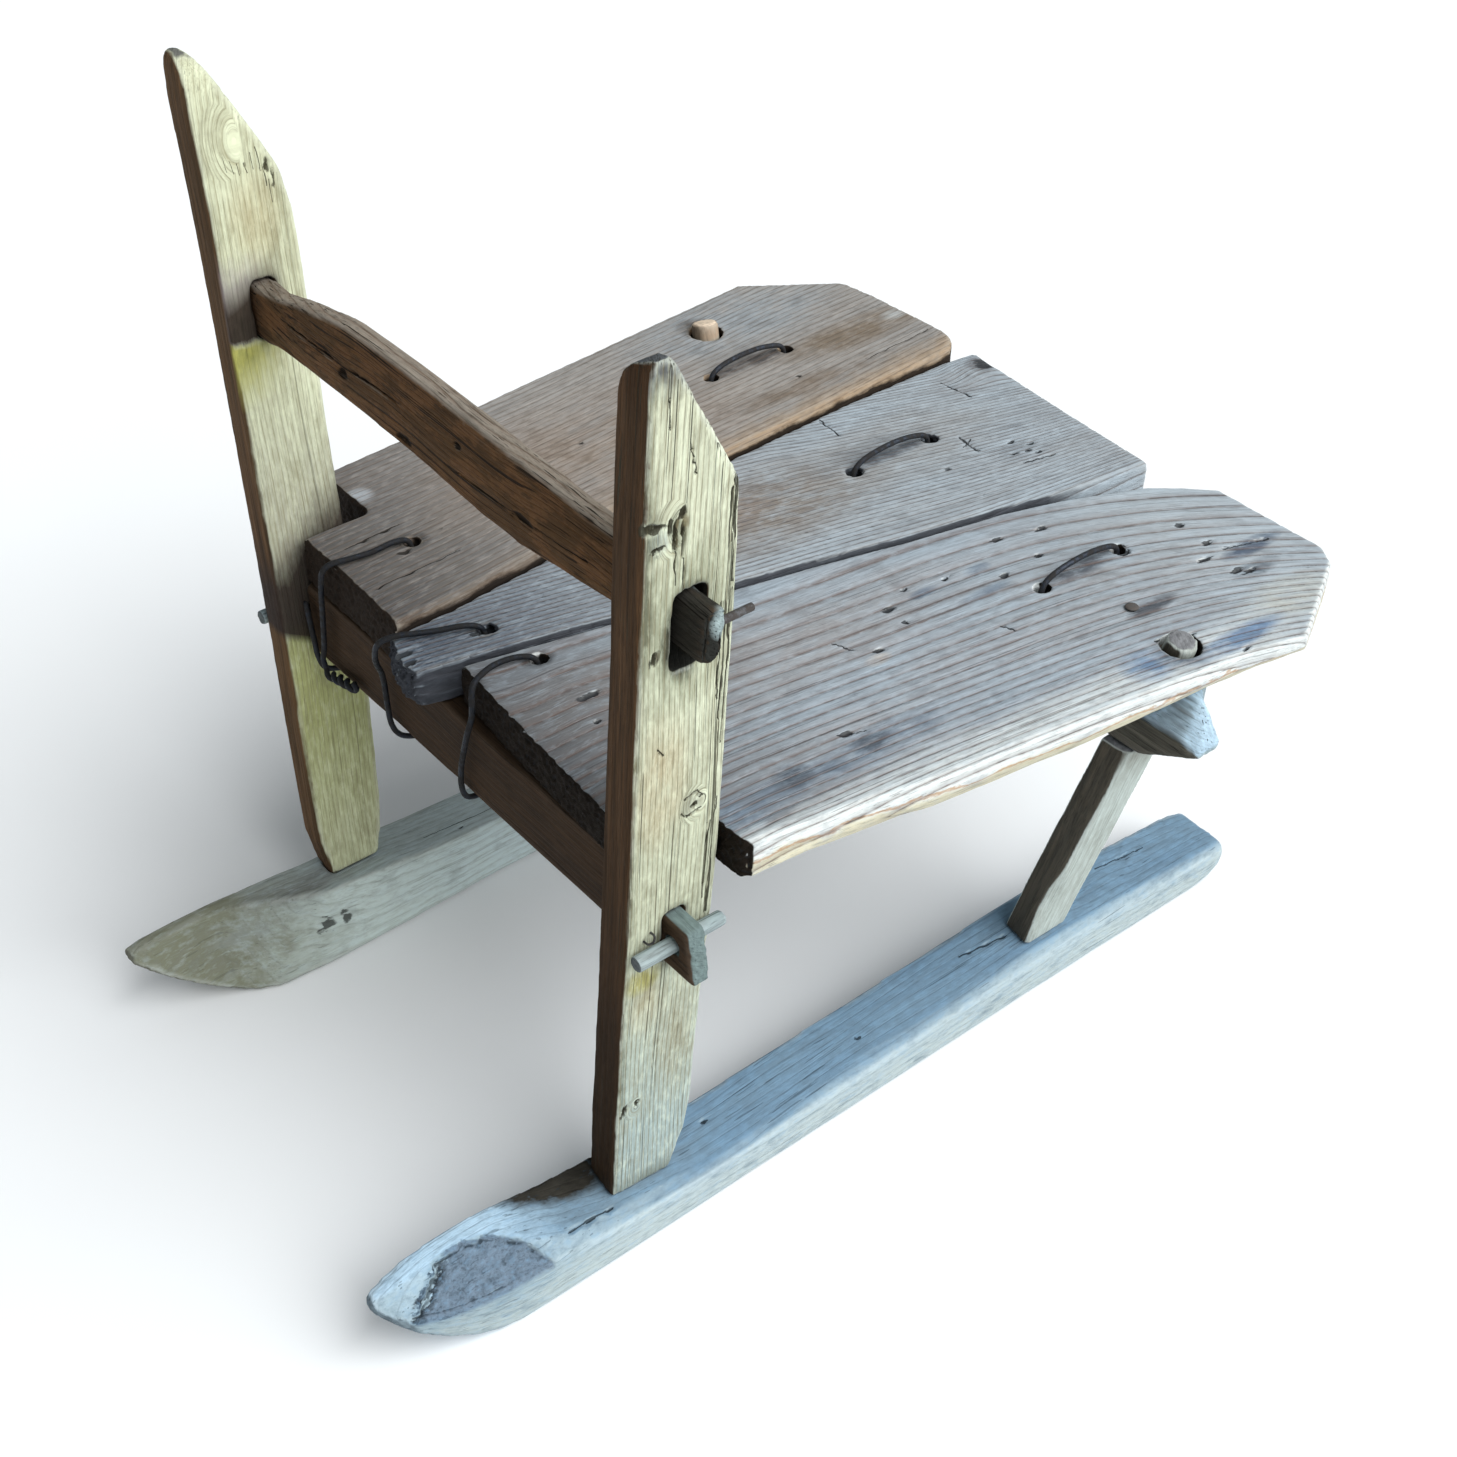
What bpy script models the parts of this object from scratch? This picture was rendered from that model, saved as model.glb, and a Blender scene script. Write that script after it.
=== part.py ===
# Child's wooden sled: two runners, two tall front posts with a hand rail, three seat boards.
# Sizes are in millimetres as drawn. X runs across the sled, the front points along -Y, Z is up,
# and the ground is Z = 0.

import math

import bmesh
import bpy
from mathutils import Vector

MM = 0.001

# The drawn centre lines lie a little off the middle of the outline, which becomes the origin.
DATUM_X = -2.0
DATUM_Y = 145.2

GAP = 0.3

# How far a cutter reaches past the wall that it goes through.
CUTTER_REACH = 12.0

# Posts: the outer and inner faces lean outward with height, by this slope.
POST_RIGHT_INNER_X = 108.9
POST_RIGHT_FOOT_Z = 26.0
POST_RIGHT_LEAN = 0.064
POST_RIGHT_THICK = 17.6
POST_LEFT_INNER_X = 118.0
POST_LEFT_FOOT_Z = 38.0
POST_LEFT_LEAN = 0.080
POST_LEFT_THICK = 17.5
POST_EDGE_WEAR = 1.4
POST_TENON_DEPTH = 20.0
POST_TENON_Y0 = 7.0
POST_TENON_Y1 = 29.0
POST_TENON_INSET = 3.5

# Runners: where a post or leg stands, the top is a plane given by its height at the inner
# side, its fall toward the outer side, and for the right post its fall toward the rear.
RUNNER_INNER_X = 104.0
RIGHT_POST_SEAT_Z = 33.0
RIGHT_SEAT_FALL = 0.25
RIGHT_SEAT_REAR_FALL = 0.085
LEFT_POST_SEAT_Z = 38.0
RIGHT_LEG_SEAT_Z = 33.0
LEFT_LEG_SEAT_Z = 32.5

# Front beam under the seat.
BEAM_FRONT_Y = 17.6
BEAM_REAR_Y = 43.0
BEAM_BOTTOM_Z = 170.5
BEAM_TOP_Z = 209.2
BEAM_TENON_FRONT_Y = 19.5
BEAM_TENON_REAR_Y = 29.5
BEAM_TENON_FOOT_Z = 171.0
BEAM_TENON_TOP_Z = 197.0
BEAM_TENON_OUT_TOP = 15.4
BEAM_TENON_OUT_FOOT = 19.6
BEAM_EDGE_WEAR = 1.2

# Wooden pegs that lock the beam's tenons.
BEAM_PEG_R = 3.7
BEAM_PEG_HOLE_R = 4.0
BEAM_PEG_Z = 184.0
BEAM_PEG_FRONT_Y = 2.0
BEAM_PEG_REAR_Y = 46.5
BEAM_PEG_OFF = 4.3

# Hand rail and the iron pins that lock its tenons.
RAIL_TENON_FRONT_Y = 17.2
RAIL_TENON_REAR_Y = 28.4
RAIL_TENON_FOOT_Z = 330.5
RAIL_TENON_TOP_Z = 356.0
RAIL_SHOULDER_FOOT_Z = 333.0
RAIL_TENON_OUT_TOP = 16.2
RAIL_TENON_OUT_FOOT = 13.4
RAIL_PIN_R = 1.7
RAIL_PIN_HOLE_R = 2.0
RAIL_PIN_Z = 341.5
RAIL_PIN_FRONT_Y = 19.6
RAIL_PIN_REAR_Y = 46.5
RAIL_PIN_OFF = 4.8
RAIL_HOLE_FRONT_Y = 15.4
RAIL_HOLE_REAR_Y = 29.4
RAIL_HOLE_FOOT_Z = 323.0
RAIL_HOLE_TOP_Z = 356.6

# Rear beam across the legs.
REAR_FRONT_Y = 266.0
REAR_REAR_Y = 308.0
REAR_BOTTOM_Z = 172.0
REAR_TOP_Z = 209.2

# Rear legs lean outward; their round upper ends pass through the rear beam and the seat.
LEG_TENON_R = 7.4
LEG_BEAM_HOLE_R = 7.8
LEG_BOARD_HOLE_R = 8.6
LEG_AXIS_FOOT_X = 122.1
LEG_AXIS_TOP_X = 170.4
LEG_RIGHT_AXIS_FOOT_Y = 272.6
LEG_RIGHT_AXIS_TOP_Y = 277.9
LEG_LEFT_AXIS_FOOT_Y = 284.0
LEG_LEFT_AXIS_TOP_Y = 291.6
LEG_AXIS_TOP_Z = 231.0
LEG_FOOT_Z = 29.0
LEG_SHOULDER_Z = REAR_BOTTOM_Z - GAP
LEG_RIGHT_END_Z = 233.2
LEG_LEFT_END_Z = 239.5
LEG_FOOT_TENON_R = 6.0
LEG_FOOT_TENON_DEPTH = 18.0

# Seat boards.
BOARD_BOTTOM_Z = 209.5
BOARD_LEFT_THICK = 24.5
BOARD_MIDDLE_THICK = 21.0
BOARD_RIGHT_THICK = 20.5
BOARD_LEFT_TOP_Z = BOARD_BOTTOM_Z + BOARD_LEFT_THICK
BOARD_MIDDLE_TOP_Z = BOARD_BOTTOM_Z + BOARD_MIDDLE_THICK
BOARD_RIGHT_TOP_Z = BOARD_BOTTOM_Z + BOARD_RIGHT_THICK
BOARD_WEAR = 1.3
BOARD_FOOT_WEAR = 0.5
BOARD_FOOT_RISE = 0.6
BOARD_DEEPEST_WEAR = 2.6

WIRE_R = 1.5
WIRE_HOLE_R = 3.6
STAPLE_R = 0.55
STAPLE_HOLE_R = 0.85

NAIL_X = 138.5
NAIL_Y = 282.2
NAIL_SHANK_R = 1.4
NAIL_HOLE_R = 1.7
NAIL_HEAD_R = 3.3
NAIL_DEPTH = 40.0
NAIL_HEAD_Z = 0.2
NAIL_HEAD_RISE = 1.5


for obj in list(bpy.data.objects):
    bpy.data.objects.remove(obj, do_unlink=True)

parts = bpy.data.collections.new("sled")
cutters = bpy.data.collections.new("sled_cutters")
bpy.context.scene.collection.children.link(parts)
bpy.context.scene.collection.children.link(cutters)
cutters.hide_render = True


def material(name, colour, roughness, metallic=0.0):
    made = bpy.data.materials.new(name)
    made.use_nodes = True
    shader = made.node_tree.nodes["Principled BSDF"]
    shader.inputs["Base Color"].default_value = (*colour, 1.0)
    shader.inputs["Roughness"].default_value = roughness
    shader.inputs["Metallic"].default_value = metallic
    made.diffuse_color = (*colour, 1.0)
    return made


def to_object(name, bm, origin, collection, mat=None):
    """Writes the mesh, drawn in millimetres, as an object whose origin is the given point."""
    bmesh.ops.recalc_face_normals(bm, faces=bm.faces[:])
    if bm.calc_volume(signed=True) < 0:
        bmesh.ops.reverse_faces(bm, faces=bm.faces[:])
    start = Vector(origin)
    for v in bm.verts:
        v.co = (v.co - start) * MM
    mesh = bpy.data.meshes.new(name)
    bm.to_mesh(mesh)
    bm.free()
    obj = bpy.data.objects.new(name, mesh)
    obj.location = (start - Vector((DATUM_X, DATUM_Y, 0.0))) * MM
    collection.objects.link(obj)
    if mat:
        mesh.materials.append(mat)
    if collection is cutters:
        obj.hide_render = True
        obj.display_type = "WIRE"
    return obj


def centre_of(rings):
    points = [Vector(p) for ring in rings for p in ring]
    low = Vector([min(p[i] for p in points) for i in range(3)])
    high = Vector([max(p[i] for p in points) for i in range(3)])
    return (low + high) / 2


def loft(name, rings, collection, mat=None, origin=None):
    """A closed solid through rings of equal point counts, with a flat cap at each end."""
    bm = bmesh.new()
    rows = [[bm.verts.new(p) for p in ring] for ring in rings]
    count = len(rings[0])
    for a, b in zip(rows, rows[1:]):
        for i in range(count):
            j = (i + 1) % count
            bm.faces.new((a[i], a[j], b[j], b[i]))
    bm.faces.new(rows[0][::-1])
    bm.faces.new(rows[-1])
    return to_object(name, bm, origin or centre_of(rings), collection, mat)


def inset(outline, amounts):
    """The outline, counterclockwise, with each side moved inward by its own amount."""
    count = len(outline)
    if not isinstance(amounts, (list, tuple)):
        amounts = [amounts] * count
    moved = []
    for i, (x, y) in enumerate(outline):
        before = outline[i - 1]
        after = outline[(i + 1) % count]
        d0 = Vector((x - before[0], y - before[1])).normalized()
        d1 = Vector((after[0] - x, after[1] - y)).normalized()
        n0 = Vector((-d0.y, d0.x))
        n1 = Vector((-d1.y, d1.x))
        a0 = amounts[i - 1]
        a1 = amounts[i]
        turn = d0.x * d1.y - d0.y * d1.x
        if abs(turn) < 0.05:
            shift = (n0 + n1).normalized() * (a0 + a1) / 2
        else:
            shift = (d1 * a0 - d0 * a1) / turn
        moved.append((x + shift.x, y + shift.y))
    return moved


def box(name, low, high, shear=None):
    """A cutter box. With a shear, X moves by slope * (z - z0)."""
    rings = []
    for z in (low[2], high[2]):
        dx = shear[0] * (z - shear[1]) if shear else 0.0
        rings.append(
            [
                (low[0] + dx, low[1], z),
                (high[0] + dx, low[1], z),
                (high[0] + dx, high[1], z),
                (low[0] + dx, high[1], z),
            ]
        )
    return loft(name, rings, cutters)


def rod(name, start, end, radius, collection, mat=None, sides=24, end_radius=None):
    """A round rod between two points, with its cap edges rounded a little."""
    a = Vector(start)
    b = Vector(end)
    far = end_radius or radius
    axis = (b - a).normalized()
    side = axis.orthogonal().normalized()
    other = axis.cross(side)
    rings = []
    length = (b - a).length
    soft = min(0.12 * radius, 0.02 * length)
    for at, r in ((0.0, radius - soft), (soft, radius), (length - soft, far), (length, far - soft)):
        ring = []
        for k in range(sides):
            turn = 2 * math.pi * k / sides
            ring.append(tuple(a + axis * at + (side * math.cos(turn) + other * math.sin(turn)) * r))
        rings.append(ring)
    made = loft(name, rings, collection, mat, (a + b) / 2)
    if collection is parts:
        for face in made.data.polygons:
            face.use_smooth = len(face.vertices) == 4
    return made


def cut(obj, *tools):
    for tool in tools:
        step = obj.modifiers.new(tool.name, "BOOLEAN")
        step.operation = "DIFFERENCE"
        step.solver = "EXACT"
        step.object = tool


def smooth_path(points, closed, step):
    """Points along a smooth curve through the given ones, about one step apart."""
    pts = [Vector(p) for p in points]
    count = len(pts)
    out = []
    spans = count if closed else count - 1
    for i in range(spans):
        p1 = pts[i]
        p2 = pts[(i + 1) % count]
        p0 = pts[i - 1] if closed or i > 0 else p1 * 2 - p2
        p3 = pts[(i + 2) % count] if closed or i + 2 < count else p2 * 2 - p1
        parts_here = max(1, round((p2 - p1).length / step))
        for k in range(parts_here):
            t = k / parts_here
            out.append(
                0.5
                * (
                    2 * p1
                    + (p2 - p0) * t
                    + (2 * p0 - 5 * p1 + 4 * p2 - p3) * t * t
                    + (3 * p1 - p0 - 3 * p2 + p3) * t * t * t
                )
            )
    if not closed:
        out.append(pts[-1])
    return out


def wire(name, points, radius, mat, closed=False, step=3.2):
    path = smooth_path(points, closed, step)
    middle = sum(path, Vector()) / len(path)
    curve = bpy.data.curves.new(name, "CURVE")
    curve.dimensions = "3D"
    curve.bevel_depth = radius * MM
    curve.bevel_resolution = 2
    curve.use_fill_caps = True
    spline = curve.splines.new("POLY")
    spline.points.add(len(path) - 1)
    for slot, p in zip(spline.points, path):
        slot.co = (*((p - middle) * MM), 1.0)
    spline.use_cyclic_u = closed
    obj = bpy.data.objects.new(name, curve)
    obj.location = (middle - Vector((DATUM_X, DATUM_Y, 0.0))) * MM
    curve.materials.append(mat)
    parts.objects.link(obj)
    return obj


def right_inner(z):
    return POST_RIGHT_INNER_X + POST_RIGHT_LEAN * (z - POST_RIGHT_FOOT_Z)


def right_outer(z):
    return right_inner(z) + POST_RIGHT_THICK


def left_inner(z):
    return -POST_LEFT_INNER_X - POST_LEFT_LEAN * (z - POST_LEFT_FOOT_Z)


def left_outer(z):
    return left_inner(z) - POST_LEFT_THICK


wood_runner_right = material("runner_right_wood", (0.36, 0.43, 0.50), 0.75)
wood_runner_left = material("runner_left_wood", (0.42, 0.44, 0.40), 0.75)
wood_post_right = material("post_right_wood", (0.60, 0.60, 0.45), 0.7)
wood_post_left = material("post_left_wood", (0.58, 0.58, 0.40), 0.7)
wood_rail = material("rail_wood", (0.25, 0.17, 0.11), 0.6)
wood_beam = material("front_beam_wood", (0.20, 0.15, 0.11), 0.7)
wood_rear_beam = material("rear_beam_wood", (0.36, 0.36, 0.36), 0.75)
wood_leg_right = material("leg_right_wood", (0.50, 0.50, 0.44), 0.75)
wood_leg_left = material("leg_left_wood", (0.55, 0.46, 0.33), 0.7)
wood_board_left = material("board_left_wood", (0.40, 0.34, 0.28), 0.7)
wood_board_middle = material("board_middle_wood", (0.42, 0.42, 0.44), 0.7)
wood_board_right = material("board_right_wood", (0.44, 0.46, 0.50), 0.7)
wood_peg_right = material("beam_peg_right_wood", (0.52, 0.55, 0.58), 0.7)
wood_peg_left = material("beam_peg_left_wood", (0.50, 0.50, 0.46), 0.7)
iron_pin_right = material("rail_pin_right_iron", (0.20, 0.18, 0.17), 0.6, 0.8)
iron_pin_left = material("rail_pin_left_iron", (0.19, 0.17, 0.16), 0.6, 0.8)
iron_nail = material("board_nail_iron", (0.16, 0.15, 0.15), 0.6, 0.8)
iron_staple = material("post_staple_iron", (0.15, 0.14, 0.14), 0.6, 0.8)
iron_front_left = material("tie_front_left_iron", (0.17, 0.16, 0.17), 0.5, 0.9)
iron_front_middle = material("tie_front_middle_iron", (0.17, 0.16, 0.17), 0.5, 0.9)
iron_front_right = material("tie_front_right_iron", (0.17, 0.16, 0.17), 0.5, 0.9)
iron_rear_left = material("tie_rear_left_iron", (0.16, 0.15, 0.16), 0.5, 0.9)
iron_rear_middle = material("tie_rear_middle_iron", (0.16, 0.15, 0.16), 0.5, 0.9)
iron_rear_right = material("tie_rear_right_iron", (0.16, 0.15, 0.16), 0.5, 0.9)


# Right runner. Stations from the upturned nose to the heel: y, inner x, outer x, underside z,
# height of the outer side's upper edge, x and z of the worn outer edge of the top, and the
# height of the top at its inner side.
SEAT_EDGE_X = 130.5


def right_seat_z(x, y):
    inward = x - RUNNER_INNER_X
    return RIGHT_POST_SEAT_Z - RIGHT_SEAT_REAR_FALL * y - RIGHT_SEAT_FALL * inward


def right_leg_seat_z(x):
    return RIGHT_LEG_SEAT_Z - RIGHT_SEAT_FALL * (x - RUNNER_INNER_X)


SEAT_FRONT_Y = -4.0
SEAT_REAR_Y = 44.0
LEG_SEAT_FRONT_Y = 252.0
LEG_SEAT_REAR_Y = 293.0
LEFT_LEG_SEAT_FRONT_Y = 264.0
LEFT_LEG_SEAT_REAR_Y = 304.0
RUNNER_RIGHT = (
    (-116.0, 108.0, 115.0, 30.5, 34.8, 112.0, 37.0, 37.5),
    (-108.6, 106.0, 123.0, 23.7, 29.5, 113.0, 38.2, 38.6),
    (-102.0, 104.8, 127.5, 18.0, 29.0, 113.5, 39.2, 39.6),
    (-90.0, 103.8, 131.5, 9.7, 28.0, 114.0, 40.6, 41.5),
    (-79.0, 103.6, 134.2, 4.0, 28.0, 114.5, 40.8, 42.0),
    (-68.0, 103.5, 136.4, 0.9, 28.5, 115.5, 40.6, 42.0),
    (-56.0, 103.6, 137.6, 0.0, 29.0, 119.0, 39.6, 41.6),
    (-44.0, 103.8, 138.0, 0.0, 28.5, 128.0, 36.2, 39.6),
    (-25.0, 104.0, 138.0, 0.0, 25.0, 130.0, 31.0, 36.4),
    (SEAT_FRONT_Y, 104.0, 138.0, 0.0, 22.0, SEAT_EDGE_X,
     right_seat_z(SEAT_EDGE_X, SEAT_FRONT_Y), right_seat_z(104.0, SEAT_FRONT_Y)),
    (SEAT_REAR_Y, 104.0, 138.0, 0.0, 19.5, SEAT_EDGE_X,
     right_seat_z(SEAT_EDGE_X, SEAT_REAR_Y), right_seat_z(104.0, SEAT_REAR_Y)),
    (70.0, 104.0, 138.0, 0.0, 19.5, 131.0, 22.6, 28.4),
    (150.0, 104.0, 138.0, 0.0, 20.5, 131.5, 24.2, 30.6),
    (LEG_SEAT_FRONT_Y, 104.0, 138.0, 0.0, 21.5, 132.5,
     right_leg_seat_z(132.5), RIGHT_LEG_SEAT_Z),
    (LEG_SEAT_REAR_Y, 104.0, 138.2, 0.0, 21.5, 133.0,
     right_leg_seat_z(133.0), RIGHT_LEG_SEAT_Z),
    (330.0, 104.0, 138.4, 0.0, 19.8, 133.5, 24.4, 29.5),
    (384.0, 104.0, 139.0, 0.0, 18.0, 134.5, 21.4, 24.0),
    (396.0, 104.4, 139.0, 2.4, 17.0, 134.5, 20.6, 22.8),
    (403.0, 105.0, 138.5, 6.5, 16.4, 134.0, 20.0, 21.8),
    (406.5, 106.2, 137.0, 11.0, 16.0, 133.0, 19.2, 20.6),
)
rings = []
for y, inner, outer, foot, side_z, edge_x, edge_z, top in RUNNER_RIGHT:
    rings.append(
        [
            (inner, y, foot),
            (outer - 1.2, y, foot),
            (outer, y, foot + 1.8),
            (outer, y, side_z),
            (edge_x, y, edge_z),
            (inner, y, top),
        ]
    )
runner_right = loft("runner_right", rings, parts, wood_runner_right)

# Left runner. Stations: y, inner x at the foot, underside z, x of the upper inner edge, top z.
RUNNER_LEFT = (
    (-103.0, -127.5, 33.0, -131.5, 38.0),
    (-94.0, -119.5, 27.0, -129.8, 40.2),
    (-86.0, -116.0, 20.8, -129.8, 40.8),
    (-77.0, -113.0, 14.6, -129.8, 41.2),
    (-68.0, -110.5, 8.4, -130.0, 41.3),
    (-59.0, -108.0, 3.3, -130.0, 41.4),
    (-50.0, -104.0, 0.4, -128.0, 41.2),
    (-40.0, -99.8, 0.0, -124.0, 40.6),
    (-16.0, -98.4, 0.0, -114.4, 39.4),
    (-1.0, -98.4, 0.0, -110.0, LEFT_POST_SEAT_Z),
    (39.0, -99.6, 0.0, -106.6, LEFT_POST_SEAT_Z),
    (54.0, -100.4, 0.0, -106.0, 36.6),
    (96.0, -102.0, 0.0, -105.0, 35.0),
    (200.0, -103.0, 0.0, -104.0, 33.5),
    (LEFT_LEG_SEAT_FRONT_Y, -103.0, 0.0, -104.0, LEFT_LEG_SEAT_Z),
    (LEFT_LEG_SEAT_REAR_Y, -103.0, 0.0, -104.0, LEFT_LEG_SEAT_Z),
    (340.0, -103.0, 0.0, -104.0, 29.0),
    (384.0, -103.0, 0.0, -104.0, 24.0),
    (396.0, -103.4, 2.4, -104.4, 22.8),
    (403.0, -104.2, 6.5, -105.2, 21.8),
    (406.5, -105.4, 11.0, -106.4, 20.6),
)
RUNNER_LEFT_OUTER_X = -138.0
rings = []
for y, foot_x, foot, edge_x, top in RUNNER_LEFT:
    rings.append(
        [
            (RUNNER_LEFT_OUTER_X, y, foot),
            (foot_x - 1.5, y, foot),
            (foot_x, y, foot + 1.8),
            (edge_x, y, top),
            (RUNNER_LEFT_OUTER_X + 1.2, y, top),
            (RUNNER_LEFT_OUTER_X, y, top - 1.2),
        ]
    )
runner_left = loft("runner_left", rings, parts, wood_runner_left)

# Side outlines of the posts, as (y, z), starting at the front foot and going round to the rear.
POST_RIGHT_OUTLINE = (
    (-0.4, RIGHT_POST_SEAT_Z),
    (33.4, RIGHT_POST_SEAT_Z),
    (37.6, 40.6),
    (40.0, 47.0),
    (42.4, 66.0),
    (42.6, 106.0),
    (43.6, 150.0),
    (45.4, 190.0),
    (45.7, 228.0),
    (44.4, 300.0),
    (43.6, 345.0),
    (41.4, 395.0),
    (16.6, 439.0),
    (11.5, 448.4),
    (7.6, 452.4),
    (2.8, 452.6),
    (-0.2, 448.0),
    (-0.7, 440.0),
    (-0.4, 408.0),
    (0.2, 360.0),
    (0.6, 215.0),
    (-0.8, 80.0),
)
POST_LEFT_OUTLINE = (
    (6.0, LEFT_POST_SEAT_Z),
    (34.0, LEFT_POST_SEAT_Z),
    (37.9, 53.0),
    (40.0, 70.0),
    (42.8, 131.0),
    (43.8, 232.0),
    (43.6, 300.0),
    (43.6, 362.0),
    (42.8, 384.0),
    (39.6, 401.5),
    (33.0, 414.7),
    (26.7, 426.2),
    (17.0, 443.6),
    (12.6, 451.0),
    (8.4, 454.4),
    (4.6, 453.6),
    (2.4, 449.0),
    (2.0, 432.0),
    (3.2, 367.0),
    (3.0, 227.0),
    (1.7, 89.0),
    (2.0, 60.0),
)


def left_seat_z(x, y):
    return LEFT_POST_SEAT_Z


def post(name, outline, inner_of, seat_of, sign, thick, mat):
    """The outline carried across the post's thickness, its edges worn, its faces leaning.

    The first two points of the outline are the foot, cut to the runner's top."""
    rings = []
    layers = ((0.0, POST_EDGE_WEAR), (POST_EDGE_WEAR, 0.0))
    layers += ((thick - POST_EDGE_WEAR, 0.0), (thick, POST_EDGE_WEAR))
    for depth, worn in layers:
        ring = []
        for i, (y, z) in enumerate(inset(list(outline), worn)):
            if i < 2:
                z = seat_of(inner_of(z) + sign * depth, y) + GAP
            ring.append((inner_of(z) + sign * depth, y, z))
        rings.append(ring)
    return loft(name, rings, parts, mat)


post_right = post(
    "post_right", POST_RIGHT_OUTLINE, right_inner, right_seat_z, 1, POST_RIGHT_THICK,
    wood_post_right,
)
post_left = post(
    "post_left", POST_LEFT_OUTLINE, left_inner, left_seat_z, -1, POST_LEFT_THICK,
    wood_post_left,
)

# The top of each post is worn round toward its inner side: distance from the inner face and
# depth below the top, as a line across the post.
CAP_WEAR = ((-0.2, 18.9), (3.4, 9.3), (8.8, 4.4), (19.2, 0.0), (30.0, -4.0))
for standing, inner_of, sign, top in ((post_right, right_inner, 1, 452.9),
                                      (post_left, left_inner, -1, 457.2)):
    edge = inner_of(top - CAP_WEAR[0][1])
    line = [(edge + sign * out, top - down) for out, down in CAP_WEAR]
    over = [(edge + sign * 30.0, top + 30.0), (edge - sign * 9.0, top + 30.0)]
    section = line + over + [(edge - sign * 9.0, top - CAP_WEAR[0][1])]
    rings = [[(x, y, z) for x, z in section] for y in (-20.0, 60.0)]
    cut(standing, loft(standing.name + "_cap_wear", rings, cutters))


def join_box(obj, low, high, shear):
    """Adds a tenon to a piece: a sheared box that overlaps it."""
    tool = box(obj.name + "_tenon", low, high, shear)
    step = obj.modifiers.new("tenon", "BOOLEAN")
    step.operation = "UNION"
    step.solver = "EXACT"
    step.object = tool


# Foot tenons of the posts and their pockets in the runners follow the posts' lean.
RIGHT_TENON_SEAT_Z = 28.0
post_feet = (
    (post_right, runner_right, RIGHT_TENON_SEAT_Z, POST_RIGHT_LEAN, POST_RIGHT_FOOT_Z,
     POST_RIGHT_INNER_X + POST_TENON_INSET,
     POST_RIGHT_INNER_X + POST_RIGHT_THICK - POST_TENON_INSET),
    (post_left, runner_left, LEFT_POST_SEAT_Z, -POST_LEFT_LEAN, POST_LEFT_FOOT_Z,
     -POST_LEFT_INNER_X - POST_LEFT_THICK + POST_TENON_INSET,
     -POST_LEFT_INNER_X - POST_TENON_INSET),
)
for standing, runner, seat_z, lean, foot_z, x0, x1 in post_feet:
    y0 = POST_TENON_Y0
    y1 = POST_TENON_Y1
    bottom = seat_z - POST_TENON_DEPTH
    join_box(standing, (x0, y0, bottom), (x1, y1, seat_z + CUTTER_REACH), (lean, foot_z))
    pocket = box(
        runner.name + "_post_pocket",
        (x0 - GAP, y0 - GAP, bottom - GAP),
        (x1 + GAP, y1 + GAP, seat_z + CUTTER_REACH),
        (lean, foot_z),
    )
    cut(runner, pocket)

# Front beam: body between the posts' inner faces and a tenon through each post.
def beam_section(y0, y1, z0, z1, wear):
    return [
        (y0 + wear, z0),
        (y1 - wear, z0),
        (y1, z0 + wear),
        (y1, z1 - wear),
        (y1 - wear, z1),
        (y0 + wear, z1),
        (y0, z1 - wear),
        (y0, z0 + wear),
    ]


body = beam_section(BEAM_FRONT_Y, BEAM_REAR_Y, BEAM_BOTTOM_Z, BEAM_TOP_Z, BEAM_EDGE_WEAR)
tenon = beam_section(
    BEAM_TENON_FRONT_Y, BEAM_TENON_REAR_Y, BEAM_TENON_FOOT_Z, BEAM_TENON_TOP_Z, 0.4
)


def end_x(outer_of, sign, z, foot_z, top_z, out_foot, out_top):
    """The slanting end cut of a tenon, measured from the post's outer face."""
    part_up = (z - foot_z) / (top_z - foot_z)
    return outer_of(foot_z) + sign * (out_foot + (out_top - out_foot) * part_up)


rings = []
rings.append(
    [
        (end_x(left_outer, -1, z, BEAM_TENON_FOOT_Z, BEAM_TENON_TOP_Z, BEAM_TENON_OUT_FOOT,
               BEAM_TENON_OUT_TOP), y, z)
        for y, z in tenon
    ]
)
rings.append([(left_inner(z) + GAP, y, z) for y, z in tenon])
rings.append([(left_inner(z) + GAP, y, z) for y, z in body])
rings.append([(right_inner(z) - GAP, y, z) for y, z in body])
rings.append([(right_inner(z) - GAP, y, z) for y, z in tenon])
rings.append(
    [
        (end_x(right_outer, 1, z, BEAM_TENON_FOOT_Z, BEAM_TENON_TOP_Z, BEAM_TENON_OUT_FOOT,
               BEAM_TENON_OUT_TOP), y, z)
        for y, z in tenon
    ]
)
front_beam = loft("front_beam", rings, parts, wood_beam)

# Hand rail. Stations: x, front y, rear y, foot z, top z, z of the front face's hewn ridge.
RAIL = (
    (-127.0, 16.4, 28.6, 332.0, 358.0, 345.0),
    (-100.0, 14.6, 28.8, 334.5, 365.0, 347.0),
    (-62.0, 13.4, 28.6, 335.0, 372.0, 350.0),
    (-18.0, 13.0, 28.4, 333.5, 372.0, 351.0),
    (32.0, 13.0, 28.4, 329.5, 370.0, 349.5),
    (56.0, 13.2, 28.4, 328.8, 368.0, 347.5),
    (86.0, 14.0, 28.6, 330.5, 365.6, 345.5),
    (114.0, 15.4, 28.6, 332.4, 363.0, 345.5),
)
RAIL_TOP_FACET = 10.0


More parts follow.
